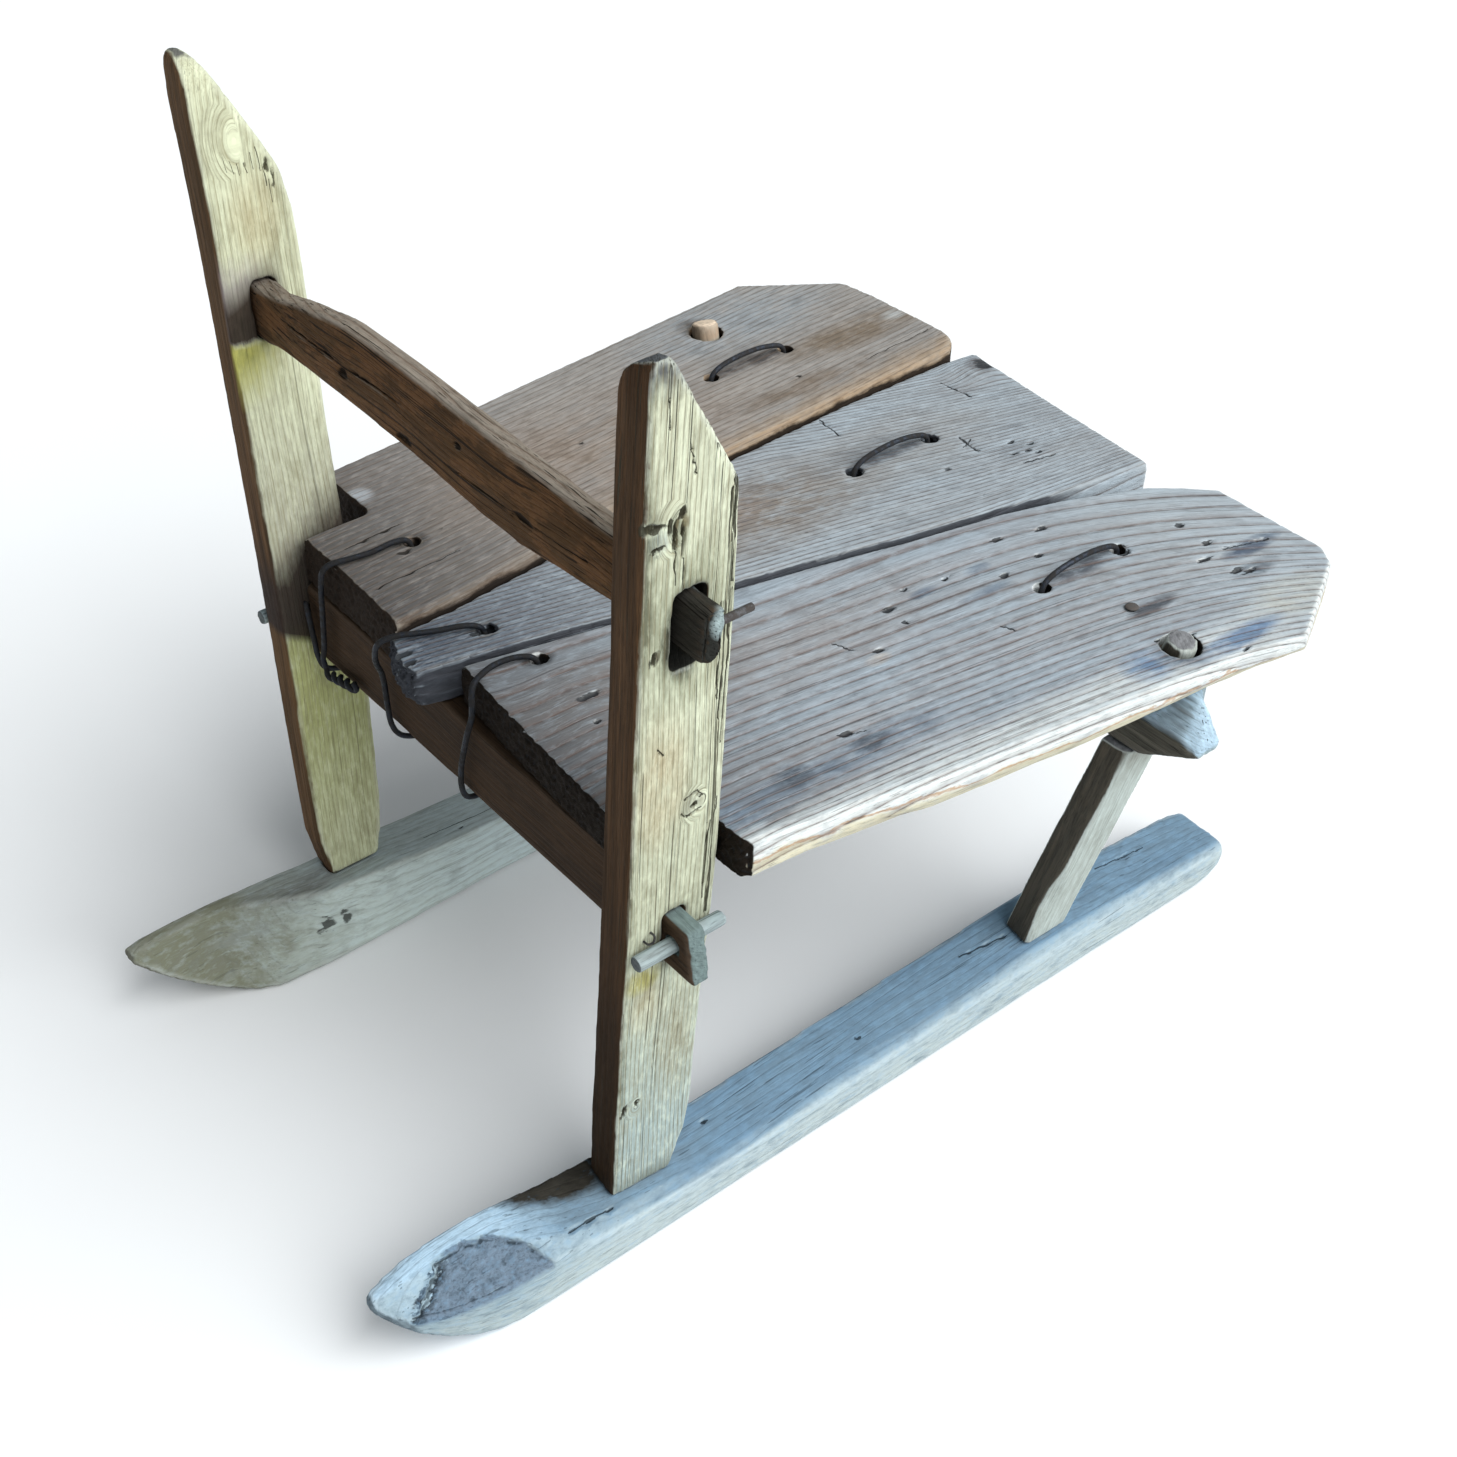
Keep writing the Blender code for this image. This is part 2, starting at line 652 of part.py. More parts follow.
def rail_ring(x_of, front, rear, foot, top, ridge):
    high = top - foot
    points = (
        (front + 2.2, foot),
        (rear - 3.0, foot + 0.6),
        (rear, foot + 0.2 * high),
        (rear, top - 0.3 * high),
        (front + RAIL_TOP_FACET + 0.6, top - 1.2),
        (front + 1.4, top),
        (front + 0.4, top - 0.06 * high),
        (front - 1.6, ridge),
        (front + 0.4, foot + 0.1 * high),
    )
    return [(x_of(z), y, z) for y, z in points]


def rail_end_ring(x_of, y0, y1, z0, z1):
    points = (
        (y0 + 0.8, z0),
        (y1 - 1.4, z0),
        (y1, z0 + 2.0),
        (y1, z1 - 1.6),
        (y1 - 1.6, z1),
        (y0 + 1.6, z1),
        (y0, z1 - 1.6),
        (y0, (z0 + z1) / 2),
        (y0, z0 + 1.2),
    )
    return [(x_of(z), y, z) for y, z in points]


def left_rail_end(z):
    return end_x(left_outer, -1, z, RAIL_TENON_FOOT_Z, RAIL_TENON_TOP_Z, RAIL_TENON_OUT_FOOT,
                 RAIL_TENON_OUT_TOP)


def right_rail_end(z):
    return end_x(right_outer, 1, z, RAIL_TENON_FOOT_Z, RAIL_TENON_TOP_Z, RAIL_TENON_OUT_FOOT,
                 RAIL_TENON_OUT_TOP)


y0 = RAIL_TENON_FRONT_Y
y1 = RAIL_TENON_REAR_Y
z0 = RAIL_TENON_FOOT_Z
z1 = RAIL_TENON_TOP_Z
rings = [
    rail_end_ring(left_rail_end, y0, y1, z0, z1),
    rail_end_ring(lambda z: left_inner(z) + GAP, y0, y1, z0, z1),
    rail_end_ring(lambda z: left_inner(z) + 1.2, y0 - 0.4, y1 + 0.4, z0 - 0.3, z1 + 0.6),
]
for x, front, rear, foot, top, ridge in RAIL:
    rings.append(rail_ring(lambda z, x=x: x, front, rear, foot, top, ridge))
z0 = RAIL_SHOULDER_FOOT_Z
rings += [
    rail_end_ring(lambda z: right_inner(z) - GAP, y0 - 1.2, y1 + 0.6, z0 - 0.6, z1 + 5.5),
    rail_end_ring(lambda z: right_inner(z) - GAP, y0, y1, z0, z1),
    rail_end_ring(right_rail_end, y0, y1, RAIL_TENON_FOOT_Z, z1),
]
rail = loft("hand_rail", rings, parts, wood_rail)

# Through mortises of the posts. The rail's hole in the right post is worn loose.
beam_tenon_hole = (
    (BEAM_TENON_FRONT_Y - GAP, BEAM_TENON_FOOT_Z - GAP),
    (BEAM_TENON_REAR_Y + GAP, BEAM_TENON_TOP_Z + GAP),
)
for standing, inner_of, outer_of in (
    (post_right, right_inner, right_outer),
    (post_left, left_inner, left_outer),
):
    walls = sorted((inner_of(BEAM_PEG_Z), outer_of(BEAM_PEG_Z)))
    low_x = walls[0] - CUTTER_REACH
    high_x = walls[1] + CUTTER_REACH
    (y0, z0), (y1, z1) = beam_tenon_hole
    cut(standing, box(standing.name + "_beam_hole", (low_x, y0, z0), (high_x, y1, z1)))
cut(
    post_right,
    box(
        "post_right_rail_hole",
        (right_inner(RAIL_PIN_Z) - CUTTER_REACH, RAIL_HOLE_FRONT_Y, RAIL_HOLE_FOOT_Z),
        (right_outer(RAIL_PIN_Z) + CUTTER_REACH, RAIL_HOLE_REAR_Y, RAIL_HOLE_TOP_Z),
    ),
)
cut(
    post_left,
    box(
        "post_left_rail_hole",
        (left_outer(RAIL_PIN_Z) - CUTTER_REACH, RAIL_TENON_FRONT_Y - GAP,
         RAIL_TENON_FOOT_Z - GAP),
        (left_inner(RAIL_PIN_Z) + CUTTER_REACH, RAIL_TENON_REAR_Y + GAP,
         RAIL_TENON_TOP_Z + GAP),
    ),
)

# Pegs through the beam's tenons and pins through the rail's, each outside its post.
peg_right_x = right_outer(BEAM_PEG_Z) + BEAM_PEG_OFF
peg_left_x = left_outer(BEAM_PEG_Z) - BEAM_PEG_OFF
pin_right_x = right_outer(RAIL_PIN_Z) + RAIL_PIN_OFF
pin_left_x = left_outer(RAIL_PIN_Z) - RAIL_PIN_OFF
for side, x, wood in (("right", peg_right_x, wood_peg_right), ("left", peg_left_x, wood_peg_left)):
    rod(
        "beam_peg_" + side,
        (x, BEAM_PEG_FRONT_Y, BEAM_PEG_Z),
        (x, BEAM_PEG_REAR_Y, BEAM_PEG_Z),
        BEAM_PEG_R,
        parts,
        wood,
        sides=16,
        end_radius=BEAM_PEG_R - 0.2,
    )
    hole = rod(
        "front_beam_peg_hole_" + side,
        (x, BEAM_TENON_FRONT_Y - CUTTER_REACH, BEAM_PEG_Z),
        (x, BEAM_TENON_REAR_Y + CUTTER_REACH, BEAM_PEG_Z),
        BEAM_PEG_HOLE_R,
        cutters,
    )
    cut(front_beam, hole)
for side, x, iron in (("right", pin_right_x, iron_pin_right), ("left", pin_left_x, iron_pin_left)):
    rod(
        "rail_pin_" + side,
        (x, RAIL_PIN_FRONT_Y, RAIL_PIN_Z),
        (x, RAIL_PIN_REAR_Y, RAIL_PIN_Z),
        RAIL_PIN_R,
        parts,
        iron,
        sides=16,
    )
    hole = rod(
        "rail_pin_hole_" + side,
        (x, RAIL_PIN_FRONT_Y - GAP, RAIL_PIN_Z),
        (x, RAIL_TENON_REAR_Y + CUTTER_REACH, RAIL_PIN_Z),
        RAIL_PIN_HOLE_R,
        cutters,
    )
    cut(rail, hole)

# Rear beam. Stations: x, front y, rear y, foot z, z of the front face's top, ridge y, ridge z.
REAR_BEAM = (
    (-199.0, 268.0, 291.0, 186.0, 189.0, 276.0, 191.0),
    (-191.0, 266.4, 294.0, 184.0, 190.5, 277.5, 201.5),
    (-185.0, REAR_FRONT_Y, 299.0, 181.0, 191.0, 279.0, 207.0),
    (-179.0, REAR_FRONT_Y, 304.0, 178.0, 191.0, 280.0, 208.8),
    (-173.0, REAR_FRONT_Y, 307.0, 175.0, 190.8, 281.0, 209.0),
    (-168.0, REAR_FRONT_Y, REAR_REAR_Y, REAR_BOTTOM_Z, 190.5, 281.0, REAR_TOP_Z),
    (-120.0, REAR_FRONT_Y, REAR_REAR_Y, REAR_BOTTOM_Z, 193.0, 276.0, REAR_TOP_Z),
    (120.0, REAR_FRONT_Y, REAR_REAR_Y, REAR_BOTTOM_Z, 193.0, 276.0, REAR_TOP_Z),
    (168.0, REAR_FRONT_Y, REAR_REAR_Y, REAR_BOTTOM_Z, 190.5, 281.0, REAR_TOP_Z),
    (173.0, REAR_FRONT_Y, 300.0, 175.0, 190.8, 281.0, 209.0),
    (178.0, REAR_FRONT_Y, 289.5, 178.0, 191.0, 280.0, 208.8),
    (184.0, REAR_FRONT_Y, 284.0, 181.0, 191.0, 279.0, 207.0),
    (189.5, 266.4, 284.0, 184.0, 190.5, 277.5, 201.0),
    (196.5, 268.0, 284.5, 186.0, 188.8, 276.0, 190.6),
)
rings = []
for x, front, rear, foot, face_top, ridge_y, ridge_z in REAR_BEAM:
    rings.append(
        [
            (x, front + 1.0, foot),
            (x, rear - 2.0, foot),
            (x, rear, foot + 1.6),
            (x, rear, ridge_z - 2.0),
            (x, rear - 2.0, ridge_z),
            (x, ridge_y, ridge_z),
            (x, front, face_top),
            (x, front, foot + 1.0),
        ]
    )
rear_beam = loft("rear_beam", rings, parts, wood_rear_beam)


def leg_axis(z, side):
    """The point of a leg's axis at a height. Side is 1 for the right leg and -1 for the left."""
    part_up = (z - LEG_FOOT_Z) / (LEG_AXIS_TOP_Z - LEG_FOOT_Z)
    x = LEG_AXIS_FOOT_X + (LEG_AXIS_TOP_X - LEG_AXIS_FOOT_X) * part_up
    foot_y = LEG_RIGHT_AXIS_FOOT_Y if side > 0 else LEG_LEFT_AXIS_FOOT_Y
    top_y = LEG_RIGHT_AXIS_TOP_Y if side > 0 else LEG_LEFT_AXIS_TOP_Y
    return (side * x, foot_y + (top_y - foot_y) * part_up, z)


# Rear leg. Stations: z, half thickness across, half depth, and how far the hewn front corner
# reaches across and back.
LEG = (
    (LEG_FOOT_Z, 7.9, 14.6, 1.0, 1.6),
    (45.0, 8.2, 14.8, 2.6, 9.0),
    (57.0, 8.2, 14.8, 3.4, 12.6),
    (70.0, 8.2, 14.8, 3.4, 9.0),
    (90.0, 8.2, 14.6, 1.0, 1.4),
    (120.0, 8.2, 14.2, 0.9, 1.0),
    (150.0, 8.2, 13.6, 1.6, 1.2),
    (LEG_SHOULDER_Z, 8.2, 13.2, 5.0, 3.0),
)


def leg(name, side, seat_of, mat):
    rings = []
    for z, half_x, half_y, worn_x, worn_y in LEG:
        cx, cy, cz = leg_axis(z, side)
        ring = [
            (cx - side * (half_x - 0.8), cy - half_y),
            (cx + side * (half_x - worn_x), cy - half_y),
            (cx + side * half_x, cy - half_y + worn_y),
            (cx + side * half_x, cy + half_y - 1.0),
            (cx + side * (half_x - 1.0), cy + half_y),
            (cx - side * (half_x - 1.0), cy + half_y),
            (cx - side * half_x, cy + half_y - 1.0),
            (cx - side * half_x, cy - half_y + 0.8),
        ]
        if rings:
            rings.append([(x, y, z) for x, y in ring])
        else:
            rings.append([(x, y, seat_of(side * x) + GAP) for x, y in ring])
    made = loft(name, rings, parts, mat)
    lower = leg_axis(LEG_FOOT_Z - LEG_FOOT_TENON_DEPTH, side)
    in_foot = leg_axis(LEG_FOOT_Z + 2 * CUTTER_REACH, side)
    in_head = leg_axis(LEG_SHOULDER_Z - 2 * CUTTER_REACH, side)
    upper = leg_axis(LEG_RIGHT_END_Z if side > 0 else LEG_LEFT_END_Z, side)
    tools = (
        rod(name + "_foot_tenon", lower, in_foot, LEG_FOOT_TENON_R, cutters, sides=16),
        rod(name + "_top_tenon", in_head, upper, LEG_TENON_R, cutters),
    )
    for tool in tools:
        step = made.modifiers.new(tool.name, "BOOLEAN")
        step.operation = "UNION"
        step.solver = "EXACT"
        step.object = tool
    return made


leg_right = leg("leg_right", 1, right_leg_seat_z, wood_leg_right)
leg_left = leg("leg_left", -1, lambda x: LEFT_LEG_SEAT_Z, wood_leg_left)

# Seat boards seen from above, counterclockwise, as (x, y).
BOARD_LEFT = (
    (left_inner(BOARD_BOTTOM_Z) + GAP, 18.2),
    (-85.0, 17.4),
    (-46.4, 15.6),
    (-48.0, 45.0),
    (-53.4, 95.0),
    (-62.0, 150.0),
    (-69.6, 225.0),
    (-74.4, 301.0),
    (-75.6, 374.0),
    (-77.4, 384.0),
    (-84.0, 392.0),
    (-92.0, 395.5),
    (-144.0, 394.2),
    (-170.0, 391.4),
    (-204.0, 341.6),
    (-195.6, 266.0),
    (-182.8, 152.0),
    (-173.6, 53.6),
    (left_inner(BOARD_BOTTOM_Z) + GAP, 53.6),
)
BOARD_RIGHT = (
    (-10.4, 24.0),
    (8.0, 22.3),
    (58.0, 17.9),
    (right_inner(BOARD_BOTTOM_Z) - GAP, 13.4),
    (right_inner(BOARD_BOTTOM_Z) - GAP, 46.4),
    (148.6, 46.4),
    (153.4, 49.4),
    (161.0, 95.0),
    (170.6, 135.0),
    (174.4, 162.0),
    (177.0, 185.0),
    (180.4, 205.0),
    (183.2, 226.0),
    (186.4, 248.0),
    (188.8, 270.0),
    (191.6, 292.0),
    (196.4, 308.0),
    (199.9, 327.0),
    (170.6, 383.0),
    (160.0, 390.2),
    (98.4, 391.4),
    (85.0, 378.0),
    (74.2, 365.0),
    (57.0, 323.0),
    (48.0, 292.6),
    (37.2, 238.0),
    (29.4, 207.5),
    (18.4, 159.0),
    (4.4, 93.3),
)
# The outer side of the right board is the waney edge of the tree: below the given height the
# side runs inward by the given amount.
RIGHT_WANE_FIRST = 6
RIGHT_WANE_IN = (4.5, 6.0, 6.0, 6.0, 6.0, 6.5, 7.0, 8.0, 9.0, 11.0, 12.0)
RIGHT_WANE_Z = (212.0, 217.0, 219.0, 219.0, 219.0, 219.5, 220.0, 220.5, 221.0, 222.0, 223.0,
                223.6)
BOARD_MIDDLE = (
    (-44.8, 9.6),
    (-38.6, 8.4),
    (-34.0, 6.2),
    (-26.0, 4.2),
    (-16.6, 4.6),
    (-15.0, 8.4),
    (-12.8, 24.4),
    (2.9, 93.3),
    (17.0, 159.0),
    (28.0, 207.5),
    (35.8, 238.0),
    (46.4, 292.6),
    (54.0, 323.0),
    (62.0, 382.8),
    (-2.8, 388.4),
    (-71.4, 395.6),
    (-72.6, 385.0),
    (-73.6, 374.0),
    (-72.6, 301.0),
    (-67.9, 225.0),
    (-60.4, 150.0),
    (-51.8, 95.0),
    (-46.4, 45.0),
)


def board(name, outline, top_z, mat, worn=None, foot_in=None, foot_z=None):
    """A seat board. Each side has its own wear at the top and its own inset at the foot."""
    count = len(outline)
    worn = worn or {}
    foot_in = foot_in or {}
    foot_z = foot_z or {}
    top_wear = [worn.get(i, BOARD_WEAR) for i in range(count)]
    foot_wear = [foot_in.get(i, BOARD_FOOT_WEAR) for i in range(count)]
    drop = min(max(top_wear), BOARD_DEEPEST_WEAR)
    side_foot = [foot_z.get(i, BOARD_BOTTOM_Z + BOARD_FOOT_RISE) for i in range(count)]
    rings = [
        [(x, y, BOARD_BOTTOM_Z) for x, y in inset(list(outline), foot_wear)],
        [(x, y, z) for (x, y), z in zip(outline, side_foot)],
        [(x, y, top_z - drop) for x, y in outline],
        [(x, y, top_z) for x, y in inset(list(outline), top_wear)],
    ]
    return loft(name, rings, parts, mat)


board_left = board(
    "board_left", BOARD_LEFT, BOARD_LEFT_TOP_Z, wood_board_left, {i: 2.8 for i in range(2, 9)}
)
board_middle = board(
    "board_middle",
    BOARD_MIDDLE,
    BOARD_MIDDLE_TOP_Z,
    wood_board_middle,
    {i: 1.8 for i in range(5)},
    {1: 1.0, 2: 1.6, 3: 2.4, 4: 2.4, 5: 2.0},
    {2: 213.0, 3: 215.5, 4: 216.5, 5: 214.0},
)
board_right = board(
    "board_right",
    BOARD_RIGHT,
    BOARD_RIGHT_TOP_Z,
    wood_board_right,
    {i: 2.4 for i in range(RIGHT_WANE_FIRST, RIGHT_WANE_FIRST + len(RIGHT_WANE_IN))},
    {RIGHT_WANE_FIRST + i: amount for i, amount in enumerate(RIGHT_WANE_IN)},
    {RIGHT_WANE_FIRST + i: z for i, z in enumerate(RIGHT_WANE_Z)},
)

# Holes for the legs' round ends, the wire ties and the nail.
for side, made, standing in ((1, board_right, leg_right), (-1, board_left, leg_left)):
    name = standing.name
    low = leg_axis(LEG_SHOULDER_Z - CUTTER_REACH, side)
    high = leg_axis(LEG_RIGHT_END_Z + CUTTER_REACH, side)
    cut(rear_beam, rod(name + "_beam_hole", low, high, LEG_BEAM_HOLE_R, cutters))
    cut(made, rod(name + "_board_hole", low, high, LEG_BOARD_HOLE_R, cutters))
for side, runner in ((1, runner_right), (-1, runner_left)):
    low = leg_axis(LEG_FOOT_Z - LEG_FOOT_TENON_DEPTH - GAP, side)
    high = leg_axis(LEG_FOOT_Z + CUTTER_REACH, side)
    cut(runner, rod(runner.name + "_leg_pocket", low, high, LEG_FOOT_TENON_R + GAP, cutters))

FRONT_HOLES = (
    (board_left, "front_left", -97.0, 57.0),
    (board_middle, "front_middle", -24.5, 48.0),
    (board_right, "front_right", 7.0, 54.0),
)
REAR_HOLE_FRONT_Y = 262.4
REAR_HOLE_REAR_Y = 313.2
REAR_TIES = (
    (board_left, "rear_left", -131.0, BOARD_LEFT_TOP_Z, iron_rear_left),
    (board_middle, "rear_middle", -21.5, BOARD_MIDDLE_TOP_Z, iron_rear_middle),
    (board_right, "rear_right", 103.0, BOARD_RIGHT_TOP_Z, iron_rear_right),
)


def drill(made, name, x, y, radius):
    low = (x, y, BOARD_BOTTOM_Z - CUTTER_REACH)
    high = (x, y, BOARD_LEFT_TOP_Z + CUTTER_REACH)
    cut(made, rod(name, low, high, radius, cutters))


for made, name, x, y in FRONT_HOLES:
    drill(made, "hole_" + name, x, y, WIRE_HOLE_R)
for made, name, x, _, _ in REAR_TIES:
    drill(made, "hole_" + name + "_a", x, REAR_HOLE_FRONT_Y, WIRE_HOLE_R)
    drill(made, "hole_" + name + "_b", x, REAR_HOLE_REAR_Y, WIRE_HOLE_R)

# Rear ties: a loop of wire through two holes of a board and round the rear beam.
REAR_TIE_RISE = (1.2, 4.4, 6.0, 6.2, 4.6, 1.4)
REAR_TIE_Y = (264.0, 270.5, 281.0, 293.0, 304.0, 311.4)
for _, name, x, top_z, iron in REAR_TIES:
    loop = [(x, REAR_HOLE_FRONT_Y, 205.0), (x, REAR_HOLE_FRONT_Y, top_z - 7.0)]
    for y, rise in zip(REAR_TIE_Y, REAR_TIE_RISE):
        loop.append((x, y, top_z + rise))
    loop += [
        (x, REAR_HOLE_REAR_Y, top_z - 7.0),
        (x, REAR_HOLE_REAR_Y, 205.0),
        (x, 312.0, 182.0),
        (x, 310.6, 171.0),
        (x, 304.0, 167.8),
        (x, 287.0, 167.6),
        (x, 270.0, 167.8),
        (x, 264.0, 171.0),
        (x, REAR_HOLE_FRONT_Y, 184.0),
    ]
    wire("tie_" + name, loop, WIRE_R, iron, closed=True)

# Front ties: through a hole behind the beam, over the board's front edge, down and under.
tie_front_right = (
    (7.0, 54.0, 205.0),
    (7.0, 54.0, 222.0),
    (6.6, 52.0, 230.8),
    (4.0, 44.0, 233.2),
    (2.4, 35.0, 232.8),
    (4.0, 27.0, 232.4),
    (7.0, 20.0, 231.2),
    (9.4, 17.8, 225.0),
    (9.6, 17.0, 217.0),
    (8.6, 14.6, 208.0),
    (5.8, 14.0, 197.0),
    (3.0, 13.9, 186.0),
    (2.0, 14.2, 175.0),
    (2.0, 17.4, 167.6),
    (3.0, 28.0, 167.0),
    (5.0, 40.0, 167.2),
    (6.4, 46.6, 172.0),
    (7.0, 51.0, 190.0),
)
wire("tie_front_right", tie_front_right, WIRE_R, iron_front_right, closed=True)

tie_front_middle = (
    (-24.5, 48.0, 205.0),
    (-24.5, 48.0, 223.0),
    (-25.0, 46.2, 231.4),
    (-27.4, 38.6, 234.2),
    (-31.4, 30.0, 233.6),
    (-36.0, 21.0, 233.2),
    (-40.4, 12.4, 233.0),
    (-44.4, 5.8, 229.8),
    (-48.2, 5.6, 221.0),
    (-52.2, 8.4, 212.0),
    (-55.2, 11.6, 205.6),
    (-56.6, 13.4, 197.0),
    (-56.4, 13.8, 185.0),
    (-55.2, 14.2, 174.0),
    (-52.6, 17.4, 167.6),
    (-47.0, 27.0, 167.0),
    (-41.0, 39.0, 167.2),
    (-36.4, 46.4, 172.0),
    (-30.6, 48.0, 188.0),
)
wire("tie_front_middle", tie_front_middle, WIRE_R, iron_front_middle, closed=True)

# The left tie ends in a twisted tail in front of the beam's lower edge.
tie_front_left = [
    (-125.0, 13.8, 204.0),
    (-123.0, 13.8, 194.0),
    (-121.0, 13.8, 184.0),
    (-119.4, 14.2, 174.0),
    (-117.0, 17.4, 167.6),
    (-112.0, 30.0, 167.0),
    (-107.6, 41.0, 167.2),
    (-104.8, 46.8, 172.0),
    (-99.6, 54.0, 198.0),
    (-97.2, 57.0, 210.0),
    (-97.0, 57.0, 226.0),
    (-97.0, 55.2, 234.8),
    (-97.2, 48.0, 237.2),
    (-97.0, 36.0, 236.8),
    (-99.0, 25.0, 236.4),
    (-101.6, 17.4, 235.6),
    (-103.6, 13.4, 231.6),
    (-105.6, 12.8, 221.0),
    (-108.0, 13.2, 205.0),
    (-111.0, 13.6, 186.0),
    (-112.6, 13.0, 177.4),
]
TAIL_START = Vector((-110.0, 13.2, 170.6))
TAIL_END = Vector((-86.0, 13.8, 176.4))
TAIL_TWIST_R = 1.7
TAIL_TURNS = 2.0
TAIL_STEPS = 14
along = (TAIL_END - TAIL_START).normalized()
across = Vector((0.0, 1.0, 0.0))
over = along.cross(across)


def tail_point(t, opposite):
    turn = 2 * math.pi * (TAIL_TURNS * t + (0.5 if opposite else 0.0)) + math.pi / 2
    swing = across * math.cos(turn) + over * math.sin(turn)
    return TAIL_START.lerp(TAIL_END, t) + swing * TAIL_TWIST_R


tail = [tail_point(k / TAIL_STEPS, False) for k in range(TAIL_STEPS + 1)]
tail.append(TAIL_END + along * 2.0)
tail += [tail_point(k / TAIL_STEPS, True) for k in range(TAIL_STEPS, 2, -1)]
wire(
    "tie_front_left",
    tie_front_left + [tuple(p) for p in tail],
    WIRE_R,
    iron_front_left,
    step=1.6,
)

# Nail through the right board into the rear beam.
nail_profile = (
    (0.0, BOARD_RIGHT_TOP_Z - NAIL_DEPTH),
    (0.5, BOARD_RIGHT_TOP_Z - NAIL_DEPTH + 0.6),
    (NAIL_SHANK_R, BOARD_RIGHT_TOP_Z - NAIL_DEPTH + 4.0),
    (NAIL_SHANK_R, BOARD_RIGHT_TOP_Z + NAIL_HEAD_Z),
    (NAIL_HEAD_R - 0.3, BOARD_RIGHT_TOP_Z + NAIL_HEAD_Z + 0.1),
    (NAIL_HEAD_R, BOARD_RIGHT_TOP_Z + NAIL_HEAD_Z + 0.5),
    (NAIL_HEAD_R - 0.6, BOARD_RIGHT_TOP_Z + NAIL_HEAD_Z + 1.1),
    (0.0, BOARD_RIGHT_TOP_Z + NAIL_HEAD_Z + NAIL_HEAD_RISE),
)
bm = bmesh.new()
verts = [bm.verts.new((NAIL_X + r, NAIL_Y, z)) for r, z in nail_profile]
for a, b in zip(verts, verts[1:]):
    bm.edges.new((a, b))
bmesh.ops.spin(
    bm,
    geom=bm.verts[:] + bm.edges[:],
    cent=(NAIL_X, NAIL_Y, 0.0),
    axis=(0.0, 0.0, 1.0),
    angle=2 * math.pi,
    steps=20,
    use_merge=True,
)
bmesh.ops.remove_doubles(bm, verts=bm.verts[:], dist=0.001)
nail = to_object("board_nail", bm, (NAIL_X, NAIL_Y, BOARD_RIGHT_TOP_Z), parts, iron_nail)
for face in nail.data.polygons:
    face.use_smooth = True
nail_hole = rod(
    "nail_hole",
    (NAIL_X, NAIL_Y, BOARD_RIGHT_TOP_Z - NAIL_DEPTH - 2.0),
    (NAIL_X, NAIL_Y, BOARD_RIGHT_TOP_Z + CUTTER_REACH),
    NAIL_HOLE_R,
    cutters,
)
cut(board_right, nail_hole)
cut(rear_beam, nail_hole)

# A thin wire staple in the right post just above the peg.
STAPLE_FEET = ((9.8, 189.2), (13.0, 192.4))
STAPLE_OUT = 4.0
STAPLE_DEPTH = 7.0
(y0, z0), (y1, z1) = STAPLE_FEET
staple_path = (
    (right_outer(z0) - STAPLE_DEPTH, y0, z0),
    (right_outer(z0), y0, z0),
    (right_outer(z0) + 0.7 * STAPLE_OUT, y0 + 0.3, z0 + 0.5),
    (right_outer(z0) + STAPLE_OUT, (y0 + y1) / 2, (z0 + z1) / 2 + 0.4),
    (right_outer(z1) + 0.7 * STAPLE_OUT, y1 - 0.3, z1 + 0.2),
    (right_outer(z1), y1, z1),
    (right_outer(z1) - STAPLE_DEPTH, y1, z1),
)
wire("post_staple", staple_path, STAPLE_R, iron_staple, step=0.8)
for label, y, z in (("a", y0, z0), ("b", y1, z1)):
    hole = rod(
        "staple_hole_" + label,
        (right_outer(z) - STAPLE_DEPTH - GAP, y, z),
        (right_outer(z) + STAPLE_OUT, y, z),
        STAPLE_HOLE_R,
        cutters,
        sides=12,
    )
    cut(post_right, hole)
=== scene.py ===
# %% [markdown]
# # A weathered child's sled
# The sled is hewn from softwood and has stood outdoors for years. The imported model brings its
# shapes and places, and this lesson gives each piece its skin: worn arrises, raised growth
# rings, cracks, stains and rust. A skin could be painted by hand or wrapped in a photograph.
# Formulas were chosen because both the mesh and the material of a piece can read the same one,
# so a ridge and its brown line lie in the same place, and because they come out the same on
# every run.

# %% The fixed frame
import functools
import math

import bmesh
import bpy
import numpy as np
from mathutils import Matrix, Vector


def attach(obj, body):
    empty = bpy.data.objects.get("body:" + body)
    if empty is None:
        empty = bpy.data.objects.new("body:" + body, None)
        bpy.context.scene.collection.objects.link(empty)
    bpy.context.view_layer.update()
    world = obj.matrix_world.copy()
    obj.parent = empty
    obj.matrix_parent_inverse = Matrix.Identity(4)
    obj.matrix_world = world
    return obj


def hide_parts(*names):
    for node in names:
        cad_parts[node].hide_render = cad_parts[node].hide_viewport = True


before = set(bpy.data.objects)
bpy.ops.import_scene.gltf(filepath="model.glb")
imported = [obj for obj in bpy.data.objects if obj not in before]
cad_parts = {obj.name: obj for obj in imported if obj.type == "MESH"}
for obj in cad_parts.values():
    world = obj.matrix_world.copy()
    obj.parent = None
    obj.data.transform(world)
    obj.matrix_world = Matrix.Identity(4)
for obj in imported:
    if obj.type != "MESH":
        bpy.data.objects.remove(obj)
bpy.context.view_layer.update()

# %% [markdown]
# All places below are written in millimetres, as a carpenter would mark them: x runs across
# the sled, y runs back from the posts' front, z is height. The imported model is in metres
# around the middle of its outline. Two offsets join the two ways of counting, which is simpler
# than moving the model, and the model must not move.

# %% Millimetres on the sled
MM = 0.001
DATUM_X = -2.0
DATUM_Y = 145.2
DATUM = np.array((DATUM_X, DATUM_Y, 0.0))


